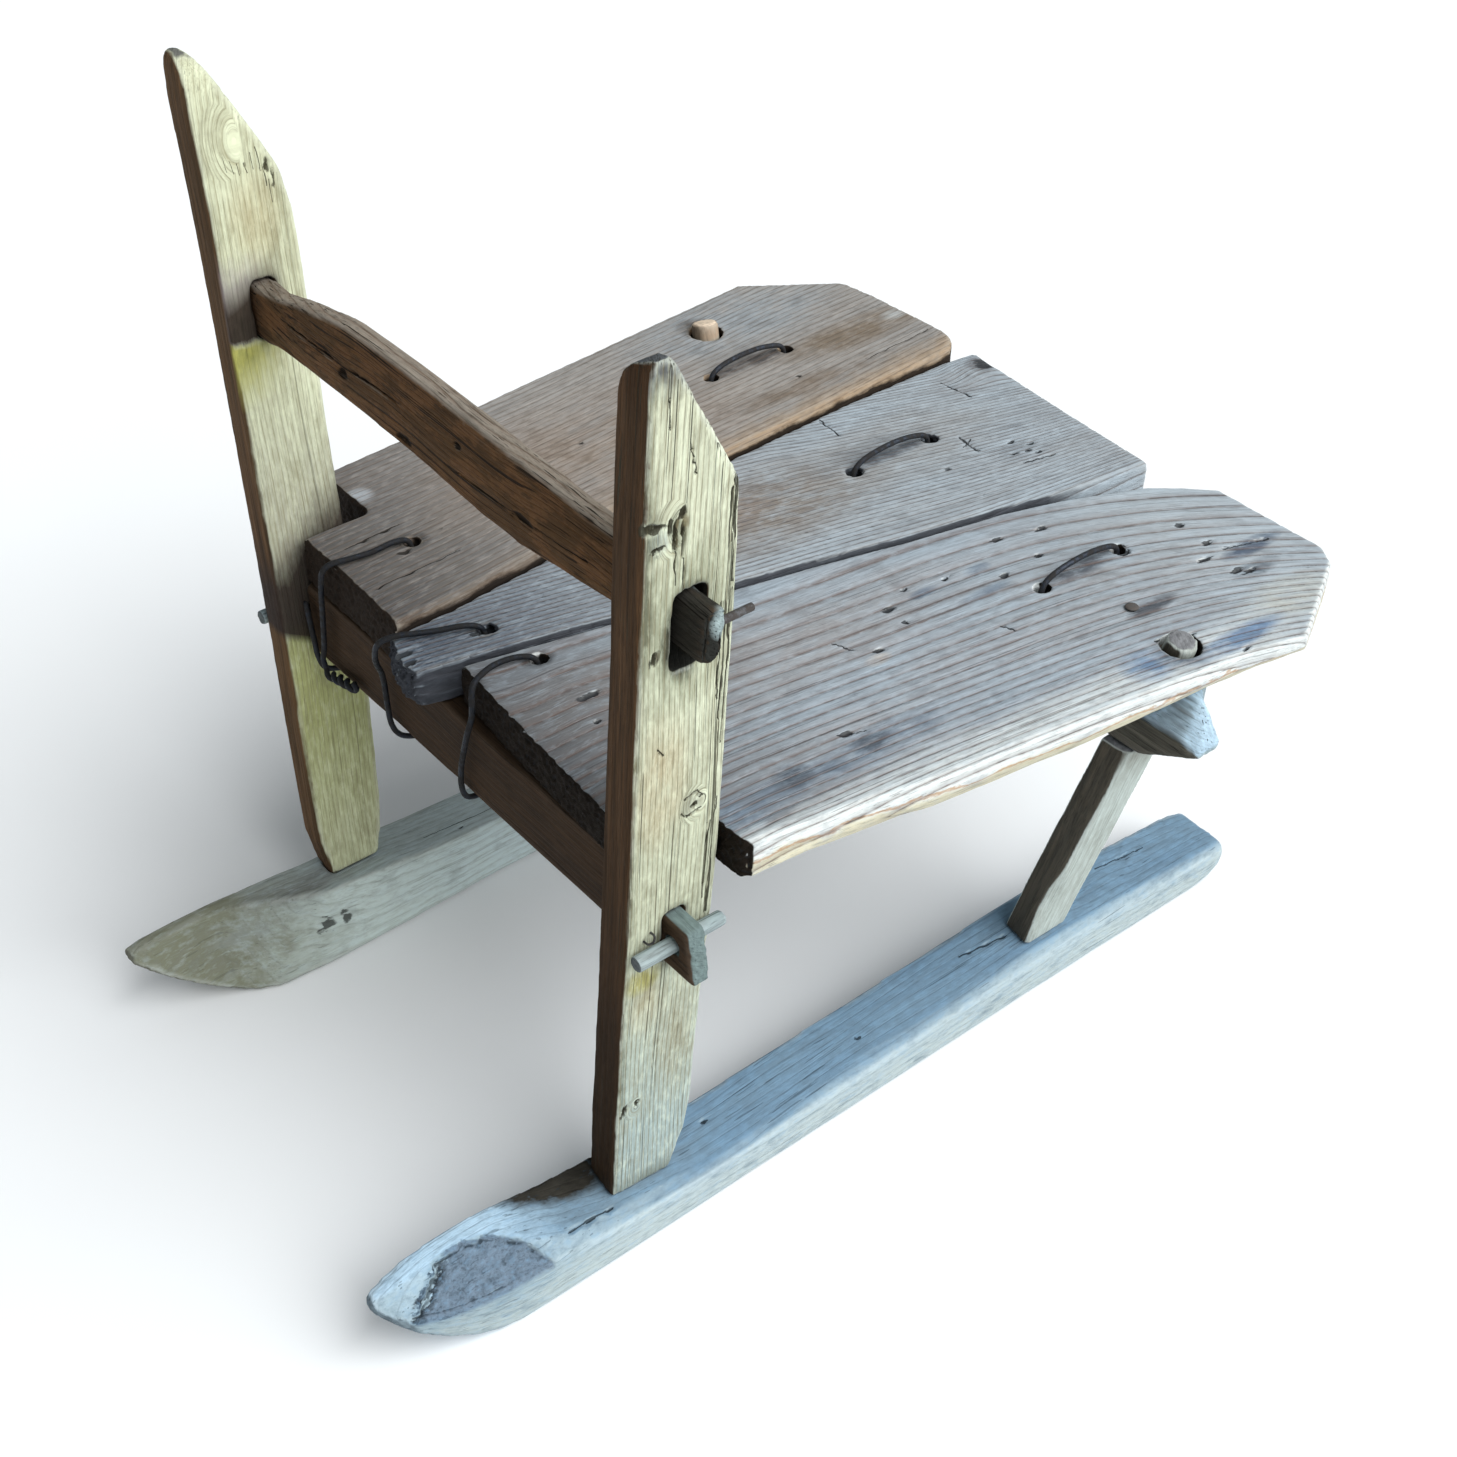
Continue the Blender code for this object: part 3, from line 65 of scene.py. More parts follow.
def metres(x, y, z):
    """A place on the sled in the model's own metres."""
    return Vector((x - DATUM_X, y - DATUM_Y, z)) * MM


# %% [markdown]
# The camera stands to the right and in front of the sled and looks down on it. It could be
# aimed at a target, but two angles and a roll say exactly how a tripod would be set, and they
# can be matched to the photograph one by one. A small shift keeps the sled off the middle, as
# in the photograph.

# %% Camera
CAMERA_TURN = 51.565
CAMERA_HEIGHT = 38.699
CAMERA_ROLL = 0.249
CAMERA_PLACE = (574.628, -330.021, 743.868)
IMAGE_SIDE = 1457
FOCUS_PIXELS = 2000
VIEW_CENTRE = (660, 720)
SENSOR = 36.0


def camera_axes(turn, height, roll):
    """Right, up and back directions of a camera at these angles, in degrees."""
    a, e, r = (math.radians(v) for v in (turn, height, roll))
    back = Vector((math.sin(a) * math.cos(e), -math.cos(a) * math.cos(e), math.sin(e)))
    right = (-back).cross(Vector((0, 0, 1))).normalized()
    up = back.cross(right)
    return right * math.cos(r) + up * math.sin(r), up * math.cos(r) - right * math.sin(r), back


camera = bpy.data.objects.new("camera", bpy.data.cameras.new("camera"))
bpy.context.scene.collection.objects.link(camera)
pose = Matrix(camera_axes(CAMERA_TURN, CAMERA_HEIGHT, CAMERA_ROLL)).transposed().to_4x4()
pose.translation = metres(*CAMERA_PLACE)
camera.matrix_world = pose
camera.data.sensor_width = SENSOR
camera.data.lens = FOCUS_PIXELS / IMAGE_SIDE * SENSOR
camera.data.shift_x = (IMAGE_SIDE / 2 - VIEW_CENTRE[0]) / IMAGE_SIDE
camera.data.shift_y = (VIEW_CENTRE[1] - IMAGE_SIDE / 2) / IMAGE_SIDE
bpy.context.scene.camera = camera
print("lens", round(camera.data.lens, 1), "mm")

# %% [markdown]
# Daylight comes from a wide window high on the right and behind, so tops and right sides are
# bright and the fronts fall into shade. An area lamp would do this too, but it fades across
# the floor. A sun lamp with a wide angle lights the sled and the floor evenly and keeps the
# shadow soft. A weak, slightly blue sky fills the shade.

# %% Light
WINDOW_FROM = Vector((0.74, 0.32, 0.84))
WINDOW_POWER = 3.85
WINDOW_ANGLE = math.radians(62)
WINDOW_COLOUR = (0.965, 0.99, 1.0)
SKY_COLOUR = (0.88, 0.95, 1.0, 1.0)
SKY_POWER = 0.30

window = bpy.data.objects.new("window_light", bpy.data.lights.new("window_light", "SUN"))
window.data.energy = WINDOW_POWER
window.data.angle = WINDOW_ANGLE
window.data.color = WINDOW_COLOUR
window.rotation_mode = "QUATERNION"
window.rotation_quaternion = WINDOW_FROM.to_track_quat("Z", "Y")
bpy.context.scene.collection.objects.link(window)

world = bpy.data.worlds.new("soft_sky")
world.use_nodes = True
world.node_tree.nodes["Background"].inputs["Color"].default_value = SKY_COLOUR
world.node_tree.nodes["Background"].inputs["Strength"].default_value = SKY_POWER
bpy.context.scene.world = world
bpy.context.scene.view_settings.view_transform = "Standard"
print("the window is", round(math.degrees(WINDOW_ANGLE)), "degrees wide")

# %% [markdown]
# Nodes could be placed and linked one by one, but shader maths is easier to read as sums than
# as boxes and strings. This small class wraps an output socket, so that 1 - mask * 0.5 adds the
# Math nodes by itself.

# %% Sums on sockets
class Value:
    """One output socket of a material, usable in sums."""

    def __init__(self, finish, socket):
        self.finish = finish
        self.socket = socket

    def math(self, operation, *others, clamp=False):
        sockets = dict(enumerate((self, *others)))
        settings = {"operation": operation, "use_clamp": clamp}
        return self.finish.node("ShaderNodeMath", settings, sockets)

    def __add__(self, other):
        return self.math("ADD", other)

    __radd__ = __add__

    def __sub__(self, other):
        return self.math("SUBTRACT", other)

    def __rsub__(self, other):
        return (self * -1.0).math("ADD", other)

    def __mul__(self, other):
        return self.math("MULTIPLY", other)

    __rmul__ = __mul__

    def __truediv__(self, other):
        return self.math("DIVIDE", other)


# %% [markdown]
# A finish is one Principled shader with all that feeds it. A node group could be shared by all
# pieces, but here each piece has its own list of stains, so a class builds the nodes anew for
# each material. Every node comes from its one method. Colours never go through Math nodes, which
# would turn them grey, so they have their own mix.

# %% A material under construction
class Finish:
    """A material under construction around one Principled shader, for one slot of the record."""

    def __init__(self, slot):
        self.slot = slot
        self.material = bpy.data.materials.new(slot + "_finish")
        self.material.use_nodes = True
        self.tree = self.material.node_tree
        self.shader = self.tree.nodes["Principled BSDF"]

    def node(self, kind, settings=None, sockets=None, output=0):
        """Adds a node: its settings first, then the values or links of its sockets."""
        made = self.tree.nodes.new(kind)
        for key, value in (settings or {}).items():
            setattr(made, key, value)
        for key, value in (sockets or {}).items():
            self.feed(made.inputs[key], value)
        return Value(self, made.outputs[output])

    def feed(self, target, value):
        if isinstance(value, Value):
            self.tree.links.new(value.socket, target)
        else:
            target.default_value = value

    def surface(self, colour, rough, height, bump, distance):
        """Feeds the shader. The distance in mm is how high the bump's 1 stands."""
        self.feed(self.shader.inputs["Base Color"], colour)
        self.feed(self.shader.inputs["Roughness"], rough)
        heights = {"Height": height, "Strength": bump, "Distance": distance * MM}
        self.feed(self.shader.inputs["Normal"], self.node("ShaderNodeBump", None, heights))
        return self

    def mix(self, factor, first, second):
        """A colour between two: first where factor is 0, second where it is 1."""
        colours = [c if isinstance(c, Value) else (*c, 1.0) for c in (first, second)]
        settings = {"data_type": "RGBA", "clamp_factor": True}
        return self.node(
            "ShaderNodeMix", settings, {0: factor, 6: colours[0], 7: colours[1]}, output=2
        )

    def noise(self, place, scale, detail=2.0, roughness=0.55, lowest=0.3, highest=0.7):
        """Clouds from 0 to 1. The scale is given for each axis, in turns per millimetre."""
        at = self.node(
            "ShaderNodeCombineXYZ", None, {i: place[i] * scale[i] for i in range(3)}
        )
        cloud = self.node(
            "ShaderNodeTexNoise", None,
            {"Vector": at, "Scale": 1.0, "Detail": detail, "Roughness": roughness},
        )
        return (cloud - lowest).math("DIVIDE", highest - lowest, clamp=True)

    def place(self):
        """x, y and z on the sled in millimetres."""
        at = self.node("ShaderNodeTexCoord", output=3)
        parts = self.tree.nodes.new("ShaderNodeSeparateXYZ")
        self.feed(parts.inputs[0], at)
        x, y, z = (Value(self, parts.outputs[i]) * (1 / MM) for i in range(3))
        return x + DATUM_X, y + DATUM_Y, z

    def facing(self):
        """How far the surface faces +x, +y and +z, from the object's own normals."""
        at = self.node("ShaderNodeTexCoord", output=1)
        parts = self.tree.nodes.new("ShaderNodeSeparateXYZ")
        self.feed(parts.inputs[0], at)
        return [Value(self, parts.outputs[i]) for i in range(3)]


# %% [markdown]
# A ring, a stain or a crack is needed twice: as numbers on the mesh's points and as nodes in a
# material. These few functions work on an array and on a socket alike, so each formula that
# shapes the mesh and colours it is written once, and the two can't drift apart.

# %% Functions for sockets and for arrays
def of_either(value, node_operation, array_function, *others):
    """Adds a Math node for a socket, or works out the numbers for an array."""
    if isinstance(value, Value):
        return value.math(node_operation, *others)
    return array_function(value, *others)


def sine(v):
    return of_either(v, "SINE", np.sin)


def root(v):
    return of_either(v, "SQRT", np.sqrt)


def larger(v, other):
    return of_either(v, "MAXIMUM", np.maximum, other)


def smaller(v, other):
    return of_either(v, "MINIMUM", np.minimum, other)


def fraction(v):
    return of_either(v, "FRACT", lambda a: a - np.floor(a))


def power(v, exponent):
    return of_either(v, "POWER", np.power, exponent)


def ramp(v, start, end):
    """0 before start, 1 after end, straight between."""
    return smaller(larger((v - start) / (end - start), 0.0), 1.0)


print("a ramp from 0 to 10 mm is", ramp(np.array([2.5, 20.0]), 0.0, 10.0), "at 2.5 and 20 mm")

# %% [markdown]
# Marks and stains come in two shapes. An image mask could hold any outline, but an oval and a
# line with a soft rim are enough here, since clouds fray their rims later. Both are sums of the
# functions above, so they too work on the mesh and in a material.

# %% Two shapes for marks
def spot(u, v, middle, reach):
    """1 at the middle of an oval and 0 at its rim."""
    du = (u - middle[0]) / reach[0]
    dv = (v - middle[1]) / reach[1]
    return larger(1.0 - (du * du + dv * dv), 0.0)


def line(u, v, start, end, width):
    """1 on the line between two points and 0 at half its width to either side."""
    du, dv = end[0] - start[0], end[1] - start[1]
    length2 = du * du + dv * dv
    along = ramp((u - start[0]) * du + (v - start[1]) * dv, 0.0, length2)
    off_u = u - start[0] - along * du
    off_v = v - start[1] - along * dv
    off = root(off_u * off_u + off_v * off_v)
    return larger(1.0 - off * (2.0 / width), 0.0)


def strongest(masks):
    return functools.reduce(larger, masks)


print("half way to its rim, a pit is", spot(2.0, 0.0, (0.0, 0.0), (4.0, 1.5)), "of its depth")

# %% [markdown]
# Old wood is never even, so the mesh needs clouds of its own. Blender's noise functions work on
# one point at a time, which is slow for a hundred thousand points. This is value noise on whole
# arrays: random numbers on a grid of cells, blended smoothly between the corners of each cell.

# %% Clouds for the mesh
SEED_STEP = 17.3
CELL_STEPS = (374761393, 668265263, 2147483647)
CELL_STIR = 1274126177
FOUR_BYTES, TWO_BYTES = 0xFFFFFFFF, 0xFFFF


def cell_number(*cell):
    """The same random number from 0 to 1 for the same cell, on every run."""
    mixed = sum(part * step for part, step in zip(cell, CELL_STEPS)) & FOUR_BYTES
    mixed = ((mixed ^ (mixed >> 13)) * CELL_STIR) & FOUR_BYTES
    return ((mixed ^ (mixed >> 16)) & TWO_BYTES) / TWO_BYTES


def clouds(points, size, seed=0):
    """Value noise from 0 to 1 at each point. Size is the cloud's size along x, y and z."""
    scaled = points / np.array(size) + seed * SEED_STEP
    cell = np.floor(scaled).astype(np.int64)
    part = scaled - cell
    part = part * part * (3 - 2 * part)
    total = np.zeros(len(points))
    for corner in np.ndindex(2, 2, 2):
        weight = np.prod(np.where(corner, part, 1 - part), axis=1)
        total += weight * cell_number(*(cell + corner).T)
    return total


print("three clouds in a row:", clouds(np.arange(9.0).reshape(3, 3), (2.0, 2.0, 2.0)).round(2))


# %% [markdown]
# The growth rings of a board are seen as long lines on its top. A wave texture draws straight
# lines, but real ones swing round knots and spread toward the middle of the tree. So each piece
# has a formula for how far a place lies across its rings, in millimetres, and a count of rings
# per millimetre. The fibres follow the rings, so a second place is made for them: it counts
# across the rings in place of one axis, and it leans with the piece.

# %% How rings and fibres run
X, Y, Z = 0, 1, 2
ACROSS_OF = {X: Z, Y: X, Z: Y}


class Rings:
    """The growth rings of one piece. Grain is the axis that its fibres follow."""

    def __init__(self, grain, across, per_mm, spread=0.0, lean=0.0):
        self.grain = grain
        self.across = across
        self.per_mm = per_mm
        self.spread = spread
        self.lean = lean

    def number(self, x, y, z):
        across = self.across(x, y, z)
        return across * self.per_mm + across * across * self.spread

    def fibre_place(self, x, y, z):
        place = [x - z * self.lean, y, z]
        place[ACROSS_OF[self.grain]] = self.across(x, y, z)
        return place


print("fibres along y are counted across on axis", ACROSS_OF[Y])

# %% [markdown]
# The right board's lines run along it, spread toward the middle of the tree, and swing outward
# at the rear, where the trunk flared. The middle board's lines fan out round a knot, and the
# left board's lines are almost straight. The slopes and swings were read off the photograph
# and are written as a few sums, because a drawn curve for each line would be long and stiff.

# %% Growth rings of the three boards
RIGHT_SWING_FROM = 190.0
RIGHT_SWING_OVER = 185.0
RIGHT_SWING = 33.0


def board_right_across(x, y, z):
    swing = larger(y - RIGHT_SWING_FROM, 0.0) / RIGHT_SWING_OVER
    front = ramp(y, 90.0, 15.0)
    wave = sine(y * 0.11 + x * 0.04) * 1.6 * front + sine(y * 0.033 - x * 0.02) * 0.8
    across = x - 0.12 * y - RIGHT_SWING * swing * swing * swing + wave
    return across + (230.0 - z) * 0.5


def board_middle_across(x, y, z):
    fan = larger(y - 240.0, 0.0) * 0.0022
    knot = spot(y, x, (391.0, -60.0), (34.0, 26.0))
    wave = sine(y * 0.03 + x * 0.05) * 0.7
    return x - 0.21 * y + fan * (x - 20.0) + wave + knot * knot * 13.0 + (230.0 - z) * 0.4


def board_left_across(x, y, z):
    wave = sine(y * 0.022 + x * 0.03) * 1.2 + sine(y * 0.061) * 0.4
    return x + 0.10 * y + wave + (234.0 - z) * 0.6


RIGHT_BOARD = Rings(Y, board_right_across, 0.055, spread=0.00062)
MIDDLE_BOARD = Rings(Y, board_middle_across, 0.31)
LEFT_BOARD = Rings(Y, board_left_across, 0.26)

# %% [markdown]
# The posts, runners, beams and rail are split from small trunks, so their rings are closer and
# their lines run along the piece. A knot pushes the lines aside: adding a bump to the distance
# across the rings bends them round it, with no need to draw the knot itself.

# %% Growth rings of the hewn pieces
POST_KNOTS = (
    ((252.0, 30.0), (10.0, 7.0)),
    ((85.0, 8.5), (7.0, 5.0)),
    ((386.0, 11.0), (12.0, 8.0)),
)
LEFT_KNOT = ((418.0, 14.0), (16.0, 9.0))
KNOT_SWELL = 6.0
RIGHT_LEAN = 0.064
LEFT_LEAN = -0.080
LEG_LEAN = 0.239
RUNNER_TOP_Z = 29.0


def post_right_across(x, y, z):
    wave = sine(z * 0.021) * 1.1 + sine(z * 0.055 + y * 0.1) * 0.35
    across = y + 0.006 * z + wave + (x - RIGHT_LEAN * z) * 0.7
    for middle, reach in POST_KNOTS:
        across = across + spot(z, y, middle, reach) * KNOT_SWELL
    return across


def post_left_across(x, y, z):
    wave = sine(z * 0.019 + 1.0) * 1.3 + sine(z * 0.06 + y * 0.1) * 0.3
    across = y - 0.010 * z + wave + (x - LEFT_LEAN * z) * 0.7
    return across + spot(z, y, *LEFT_KNOT) * KNOT_SWELL


def rail_across(x, y, z):
    wave = sine(x * 0.045) * 1.2 + sine(x * 0.11 + z * 0.2) * 0.4
    return z + 0.02 * x + wave + y * 0.8


def beam_across(x, y, z):
    wave = sine(x * 0.03 + 0.6) * 1.0 + sine(x * 0.09) * 0.3
    return z + 0.012 * x + wave + y * 0.5


def runner_across(x, y, z):
    wave = sine(y * 0.018) * 1.4 + sine(y * 0.05 + x * 0.2) * 0.4
    return x + 0.01 * y + wave + z * 0.8


def leg_across(side):
    """The legs mirror each other: side is 1 on the right and -1 on the left."""

    def across(x, y, z):
        lean = (z - RUNNER_TOP_Z) * LEG_LEAN
        return y + 0.02 * z + sine(z * 0.05) * 0.7 + (x * side - lean) * 0.5

    return across


def peg_across(x, y, z):
    return z + x * 0.6 + sine(y * 0.1) * 0.3


RIGHT_POST = Rings(Z, post_right_across, 0.42, lean=RIGHT_LEAN)
LEFT_POST = Rings(Z, post_left_across, 0.40, lean=LEFT_LEAN)
RAIL = Rings(X, rail_across, 0.33)
BEAM = Rings(X, beam_across, 0.30)
RUNNER = Rings(Y, runner_across, 0.30)
RIGHT_LEG = Rings(Z, leg_across(1.0), 0.42, lean=LEG_LEAN)
LEFT_LEG = Rings(Z, leg_across(-1.0), 0.42, lean=-LEG_LEAN)
PEG = Rings(Y, peg_across, 0.55)
print("the right board has", round(RIGHT_BOARD.number(150.0, 0.0, 230.0)), "rings to x = 150 mm")


# %% [markdown]
# Time left marks in known places: pits where soft wood fell out, cracks along the grain and
# across it. They could be cut with boolean solids, but hundreds of small cuts break easily. A
# list gives the places on one face, and the same list cuts the mesh and darkens the material.
# A pit is (middle, reach), a crack is (start, end, width).

# %% The marks of one face
CRACK_RAGGED = 0.2


class FaceMarks:
    """Pits and cracks on one face, placed along two axes. The face looks along the third."""

    def __init__(self, along, across, outward, sign, pits, cracks):
        self.axes = (along, across)
        self.outward = outward
        self.sign = sign
        self.pits = pits
        self.cracks = cracks

    def mask(self, places, facing, ragged, shown):
        """
        1 in the middle of each mark, fading to 0 at its rim. Ragged frays the pits. Shown says
        how far a surface must face outward to have marks at all.
        """
        u, v = (places[axis] for axis in self.axes)
        frayed_u, frayed_v = u + ragged, v + ragged
        u, v = u + ragged * CRACK_RAGGED, v + ragged * CRACK_RAGGED
        found = [spot(frayed_u, frayed_v, middle, reach) for middle, reach in self.pits]
        found += [line(u, v, start, end, width) for start, end, width in self.cracks]
        return strongest(found) * ramp(facing[self.outward] * self.sign, *shown)


# %% [markdown]
# The right board shows most of its marks. Each was measured on the photograph, because marks at
# random places would never line up with the rings as the real ones do.

# %% Marks on the right board, as (y, x)
BOARD_RIGHT_PITS = (
    ((123.5, 126.0), (3.4, 1.6)),
    ((173.0, 92.5), (3.0, 1.4)),
    ((197.0, 73.0), (4.2, 2.0)),
    ((196.0, 84.5), (1.8, 1.0)),
    ((213.0, 66.0), (2.6, 1.6)),
    ((233.0, 71.0), (2.4, 1.4)),
    ((257.0, 86.0), (3.6, 1.5)),
    ((298.0, 69.0), (4.6, 1.3)),
    ((275.0, 63.0), (4.0, 1.2)),
    ((313.5, 106.5), (4.6, 2.0)),
    ((351.0, 107.0), (3.0, 1.6)),
    ((281.0, 84.5), (2.6, 1.0)),
    ((343.0, 148.0), (5.0, 1.2)),
    ((347.0, 152.0), (6.0, 1.0)),
    ((338.0, 133.0), (5.0, 1.2)),
    ((350.0, 125.0), (4.0, 1.1)),
    ((287.0, 168.0), (4.0, 1.4)),
    ((299.0, 189.0), (3.6, 1.2)),
    ((56.0, 41.0), (7.0, 1.6)),
    ((48.0, 57.0), (2.0, 1.4)),
)
BOARD_RIGHT_CRACKS = (
    ((160.0, 76.0), (164.5, 86.0), 1.0),
    ((227.5, 112.0), (229.5, 118.0), 1.1),
    ((352.0, 133.0), (375.0, 140.0), 1.3),
    ((272.0, 161.5), (282.0, 163.0), 1.4),
    ((120.0, 125.0), (131.0, 129.0), 0.8),
)
BOARD_RIGHT_MARKS = FaceMarks(Y, X, Z, 1, BOARD_RIGHT_PITS, BOARD_RIGHT_CRACKS)
print("the right board has", len(BOARD_RIGHT_PITS), "pits")

# %% [markdown]
# The middle and left boards get their own lists in the same way. One list for all boards would
# be shorter to call, but harder to correct, because each board's marks are found by looking
# along that board. Most of their cracks opened along the grain as the wood dried.

# %% Marks on the middle and left boards, as (y, x)
BOARD_MIDDLE_PITS = (
    ((44.0, -24.0), (5.0, 1.8)),
    ((300.0, 5.0), (2.0, 1.2)),
    ((343.0, 6.0), (3.0, 1.2)),
    ((336.0, 15.0), (2.4, 1.0)),
    ((344.0, 17.0), (2.0, 0.9)),
    ((350.0, 13.0), (2.6, 1.0)),
    ((347.0, 21.0), (2.0, 0.9)),
    ((392.0, -59.0), (9.0, 6.0)),
    ((10.0, -31.0), (5.0, 2.2)),
    ((9.0, -24.0), (3.0, 2.0)),
)
BOARD_MIDDLE_CRACKS = (
    ((324.0, 2.0), (326.0, -13.0), 1.5),
    ((280.0, -51.0), (282.0, -69.0), 1.0),
    ((360.0, -38.0), (358.0, -57.0), 1.2),
    ((321.0, -4.0), (329.0, -8.0), 1.0),
    ((334.0, 24.0), (352.0, 28.0), 1.0),
)
BOARD_MIDDLE_MARKS = FaceMarks(Y, X, Z, 1, BOARD_MIDDLE_PITS, BOARD_MIDDLE_CRACKS)
BOARD_LEFT_PITS = (
    ((50.0, -92.0), (4.0, 1.6)),
    ((300.0, -104.0), (2.0, 1.0)),
    ((170.0, -120.0), (2.2, 1.0)),
    ((215.0, -110.0), (2.0, 1.2)),
)
BOARD_LEFT_CRACKS = (
    ((24.0, -75.0), (70.0, -78.0), 0.7),
    ((30.0, -110.0), (60.0, -113.0), 0.7),
    ((340.0, -96.0), (389.0, -100.0), 0.7),
)
BOARD_LEFT_MARKS = FaceMarks(Y, X, Z, 1, BOARD_LEFT_PITS, BOARD_LEFT_CRACKS)
print("the left board has", len(BOARD_LEFT_PITS), "pits")

# %% [markdown]
# The near post is the most marked piece. A knot by its front arris has broken open, another
# has cracked into a ring, and long splits run beside its rear arris. The far post has a row of
# fine splits under a knot. They are short straight cracks laid end to end, which is enough at
# this size and easier to place than curves.

# %% Marks on the posts, as (z, y)
POST_RIGHT_PITS = (
    ((389.0, 1.0), (2.4, 5.0)),
    ((388.0, 5.5), (1.6, 5.0)),
    ((383.0, 14.0), (8.0, 1.3)),
    ((387.0, 11.5), (4.0, 1.2)),
    ((380.0, 17.4), (9.0, 0.9)),
    ((391.0, 17.0), (2.6, 1.8)),
    ((379.5, 6.5), (1.0, 3.6)),
    ((333.0, 8.0), (3.6, 2.0)),
    ((251.0, 30.5), (1.8, 1.2)),
    ((86.0, 4.0), (4.0, 1.4)),
    ((87.0, 11.0), (2.6, 1.2)),
)
POST_RIGHT_CRACKS = (
    ((372.0, 18.0), (350.0, 20.0), 0.8),
    ((376.0, 14.0), (362.0, 15.0), 0.7),
    ((278.0, 41.8), (398.0, 39.8), 0.9),
    ((290.0, 39.6), (392.0, 37.8), 1.0),
    ((300.0, 37.6), (345.0, 36.4), 0.7),
    ((352.0, 41.2), (396.0, 39.0), 0.8),
    ((186.0, 40.6), (250.0, 42.2), 0.8),
    ((196.0, 38.2), (238.0, 39.0), 0.7),
    ((285.0, 14.5), (289.0, 11.5), 0.9),
    ((256.5, 26.0), (258.0, 31.0), 1.1),
    ((258.0, 31.0), (254.0, 34.0), 0.8),
    ((248.0, 33.5), (247.0, 28.0), 1.2),
    ((247.0, 28.0), (250.0, 25.0), 0.8),
    ((404.0, 21.0), (418.0, 18.0), 0.5),
    ((425.0, 9.0), (436.0, 8.0), 0.5),
)
POST_RIGHT_MARKS = FaceMarks(Z, Y, X, 1, POST_RIGHT_PITS, POST_RIGHT_CRACKS)
POST_LEFT_PITS = (((404.0, 33.0), (4.0, 0.9)), ((398.0, 35.0), (5.0, 0.7)))
POST_LEFT_CRACKS = (
    ((412.5, 14.5), (406.0, 15.5), 0.35),
    ((410.5, 17.5), (404.5, 18.5), 0.35),
    ((408.5, 20.5), (403.5, 21.0), 0.4),
    ((408.0, 23.5), (403.5, 24.5), 0.4),
    ((411.0, 26.5), (404.0, 27.0), 0.4),
    ((413.0, 29.5), (402.5, 30.0), 0.45),
    ((403.5, 31.5), (396.0, 32.0), 0.5),
    ((398.0, 33.0), (388.5, 33.5), 0.45),
)
POST_LEFT_MARKS = FaceMarks(Z, Y, X, 1, POST_LEFT_PITS, POST_LEFT_CRACKS)
print("the posts have", len(POST_RIGHT_CRACKS) + len(POST_LEFT_CRACKS), "cracks")

# %% [markdown]
# The rail and the runners have few marks, so their lists are short. The rail shows its front,
# so its marks lie along x and up z, and its face looks along y the other way.

# %% Marks on the rail as (x, z), and on the runners as (y, x)
RAIL_PITS = (
    ((-62.0, 351.0), (4.0, 2.2)),
    ((-20.0, 340.0), (6.0, 2.4)),
    ((62.0, 345.0), (8.0, 2.4)),
    ((20.0, 356.0), (3.0, 1.4)),
)
RAIL_CRACKS = (
    ((-110.0, 352.0), (-20.0, 356.0), 0.8),
    ((10.0, 344.0), (100.0, 346.0), 0.8),
)
RAIL_MARKS = FaceMarks(X, Z, Y, -1, RAIL_PITS, RAIL_CRACKS)
RUNNER_RIGHT_PITS = (((150.0, 122.0), (2.0, 0.9)), ((60.0, 116.0), (2.4, 1.0)))
RUNNER_RIGHT_CRACKS = (
    ((-27.0, 131.0), (-2.0, 129.5), 0.8),
    ((225.0, 116.0), (255.0, 120.0), 0.9),
    ((328.0, 113.5), (364.0, 115.0), 0.8),
)
RUNNER_RIGHT_MARKS = FaceMarks(Y, X, Z, 1, RUNNER_RIGHT_PITS, RUNNER_RIGHT_CRACKS)
RUNNER_LEFT_PITS = (
    ((-8.0, -105.0), (6.0, 1.1)),
    ((4.0, -104.0), (3.0, 1.4)),
    ((80.0, -112.0), (2.0, 1.0)),
)
RUNNER_LEFT_CRACKS = (((60.0, -116.0), (180.0, -114.0), 0.7),)
RUNNER_LEFT_MARKS = FaceMarks(Y, X, Z, 1, RUNNER_LEFT_PITS, RUNNER_LEFT_CRACKS)
print("the rail has", len(RAIL_PITS), "pits")

# %% [markdown]
# Every wooden piece is worn all over. It could be sculpted by hand, but that takes long and
# comes out different each time. Here each point of a fine mesh moves by a sum of formulas.
# First come the tools: reading a mesh into arrays, and averaging each point with its
# neighbours along the edges, which smooths a shape or a value.

# %% Tools for points
def read_points(mesh, what="vertices", name="co"):
    flat = np.empty(len(getattr(mesh, what)) * 3, np.float32)
    getattr(mesh, what).foreach_get(name, flat)
    return flat.reshape(-1, 3).astype(float)


def mean_of_neighbours(points, edges, count):
    total = np.empty_like(points)
    for axis in range(points.shape[1]):
        column = points[:, axis]
        total[:, axis] = np.bincount(edges[:, 0], column[edges[:, 1]], len(points))
        total[:, axis] += np.bincount(edges[:, 1], column[edges[:, 0]], len(points))
    return total / count[:, None]


def relax(points, edges, rounds):
    """Moves each point half way to the mean of its neighbours, round after round."""
    count = np.maximum(np.bincount(edges.ravel(), minlength=len(points)), 1)
    for _ in range(rounds):
        points = points + (mean_of_neighbours(points, edges, count) - points) * 0.5
    return points


def evaluated_mesh(obj):
    """The mesh with its modifiers applied."""
    graph = bpy.context.evaluated_depsgraph_get()
    return bpy.data.meshes.new_from_object(obj.evaluated_get(graph))


def skin_object(node, ending):
    """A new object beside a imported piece, with a copy of its mesh."""
    obj = bpy.data.objects.new(node + ending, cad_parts[node].data.copy())
    bpy.context.scene.collection.objects.link(obj)
    return obj


